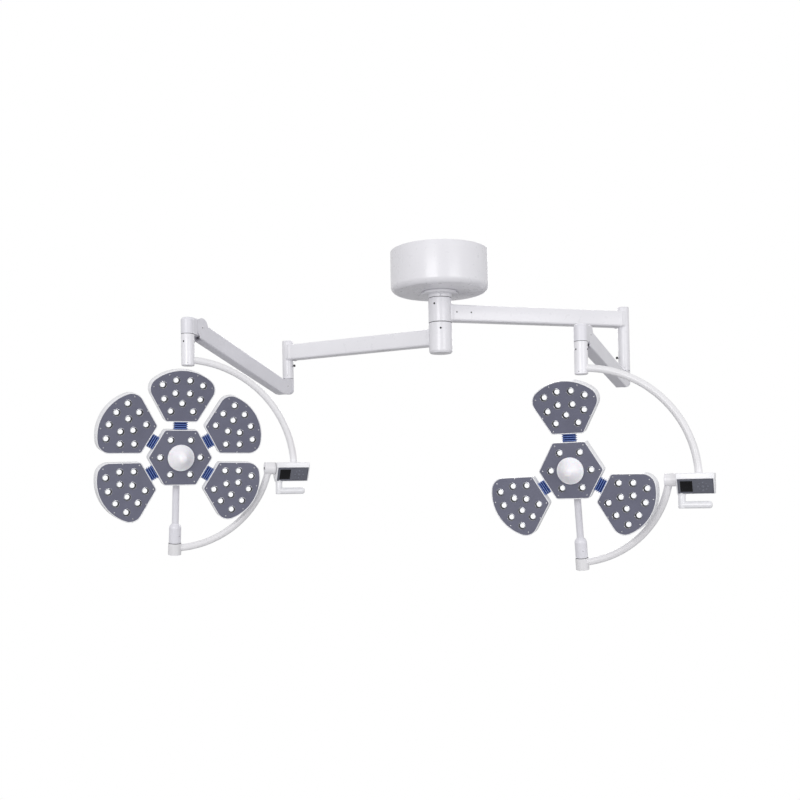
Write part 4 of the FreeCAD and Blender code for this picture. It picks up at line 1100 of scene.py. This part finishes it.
# ------------------------------------------------------------------ floor, light and camera
MIDDLE = Vector((0, 0, -0.7))       # what the lamps point at, in metres


def studio():
    """Pale floor, even white surroundings and three soft lamps."""
    floor_rad, floor_down = 7600, 8000      # low enough to look at the light from below
    floor = Shape()
    floor.at = shift(0, 0, -floor_down)
    floor.lathe(rounded([(0, 0), (floor_rad, 0), (floor_rad, -20), (0, -20)], 5, 3), 128)
    ground = surface("studio_floor", linear(226, 226, 228), 0.6, mottle=0.02, mottle_scale=1.5,
                     grain=40.0, depth=0.05)
    floor.finish("studio_floor", WORLD, [ground])

    world = bpy.data.worlds.new("studio")
    scene.world = world
    world.use_nodes = True
    nodes, links = world.node_tree.nodes, world.node_tree.links
    backdrop = nodes["Background"]
    backdrop.inputs["Color"].default_value = (1, 1, 1, 1)
    backdrop.inputs["Strength"].default_value = 1.0
    soft = nodes.new("ShaderNodeBackground")
    coords = nodes.new("ShaderNodeTexCoord")
    parts = nodes.new("ShaderNodeSeparateXYZ")
    height = nodes.new("ShaderNodeMapRange")
    set_range(height, -0.4, 0.1, 0.25, 0.95)
    height.interpolation_type = "SMOOTHSTEP"
    links.new(coords.outputs["Generated"], parts.inputs[0])
    links.new(parts.outputs["Z"], height.inputs["Value"])
    links.new(height.outputs["Result"], soft.inputs["Strength"])
    path = nodes.new("ShaderNodeLightPath")
    chosen = nodes.new("ShaderNodeMixShader")
    links.new(path.outputs["Is Camera Ray"], chosen.inputs["Fac"])
    links.new(soft.outputs[0], chosen.inputs[1])
    links.new(backdrop.outputs[0], chosen.inputs[2])
    links.new(chosen.outputs[0], nodes["World Output"].inputs["Surface"])

    for name, where, size, power in (("key", (-1.8, -6.2, 0.0), 2.8, 128),
                                     ("fill", (3.4, -4.8, -0.2), 2.4, 62),
                                     ("back", (0.5, 4.5, 1.5), 2.6, 70)):
        data = bpy.data.lights.new(name, "AREA")
        data.size = size
        data.energy = power
        lamp = bpy.data.objects.new(name, data)
        lamp.location = where
        lamp.rotation_mode = "QUATERNION"
        lamp.rotation_quaternion = (MIDDLE - Vector(where)).to_track_quat("-Z", "Y")
        lamp.visible_camera = False
        scene.collection.objects.link(lamp)
    scene.view_settings.view_transform = "Standard"
    scene.view_settings.look = "None"


def camera():
    """Camera a little below the arms, almost level."""
    yaw, pitch, roll = (math.radians(a) for a in (-2.72, 0.89, -1.03))
    ahead = Vector((math.sin(yaw) * math.cos(pitch), math.cos(yaw) * math.cos(pitch), math.sin(pitch)))
    right = Vector((math.cos(yaw), -math.sin(yaw), 0))
    above = right.cross(ahead)
    tilted = right * math.cos(roll) + above * math.sin(roll)
    above = above * math.cos(roll) - right * math.sin(roll)
    data = bpy.data.cameras.new("camera")
    data.sensor_width = 36
    data.lens = 41.77
    data.shift_x = -0.0128
    data.shift_y = 0.0967
    data.clip_end = 50
    view = bpy.data.objects.new("camera", data)
    matrix = Matrix((tilted, above, -ahead)).transposed().to_4x4()
    matrix.translation = Vector((0.0453, -3.7851, -0.9804))
    view.matrix_world = matrix
    scene.collection.objects.link(view)
    scene.camera = view


studio()
camera()
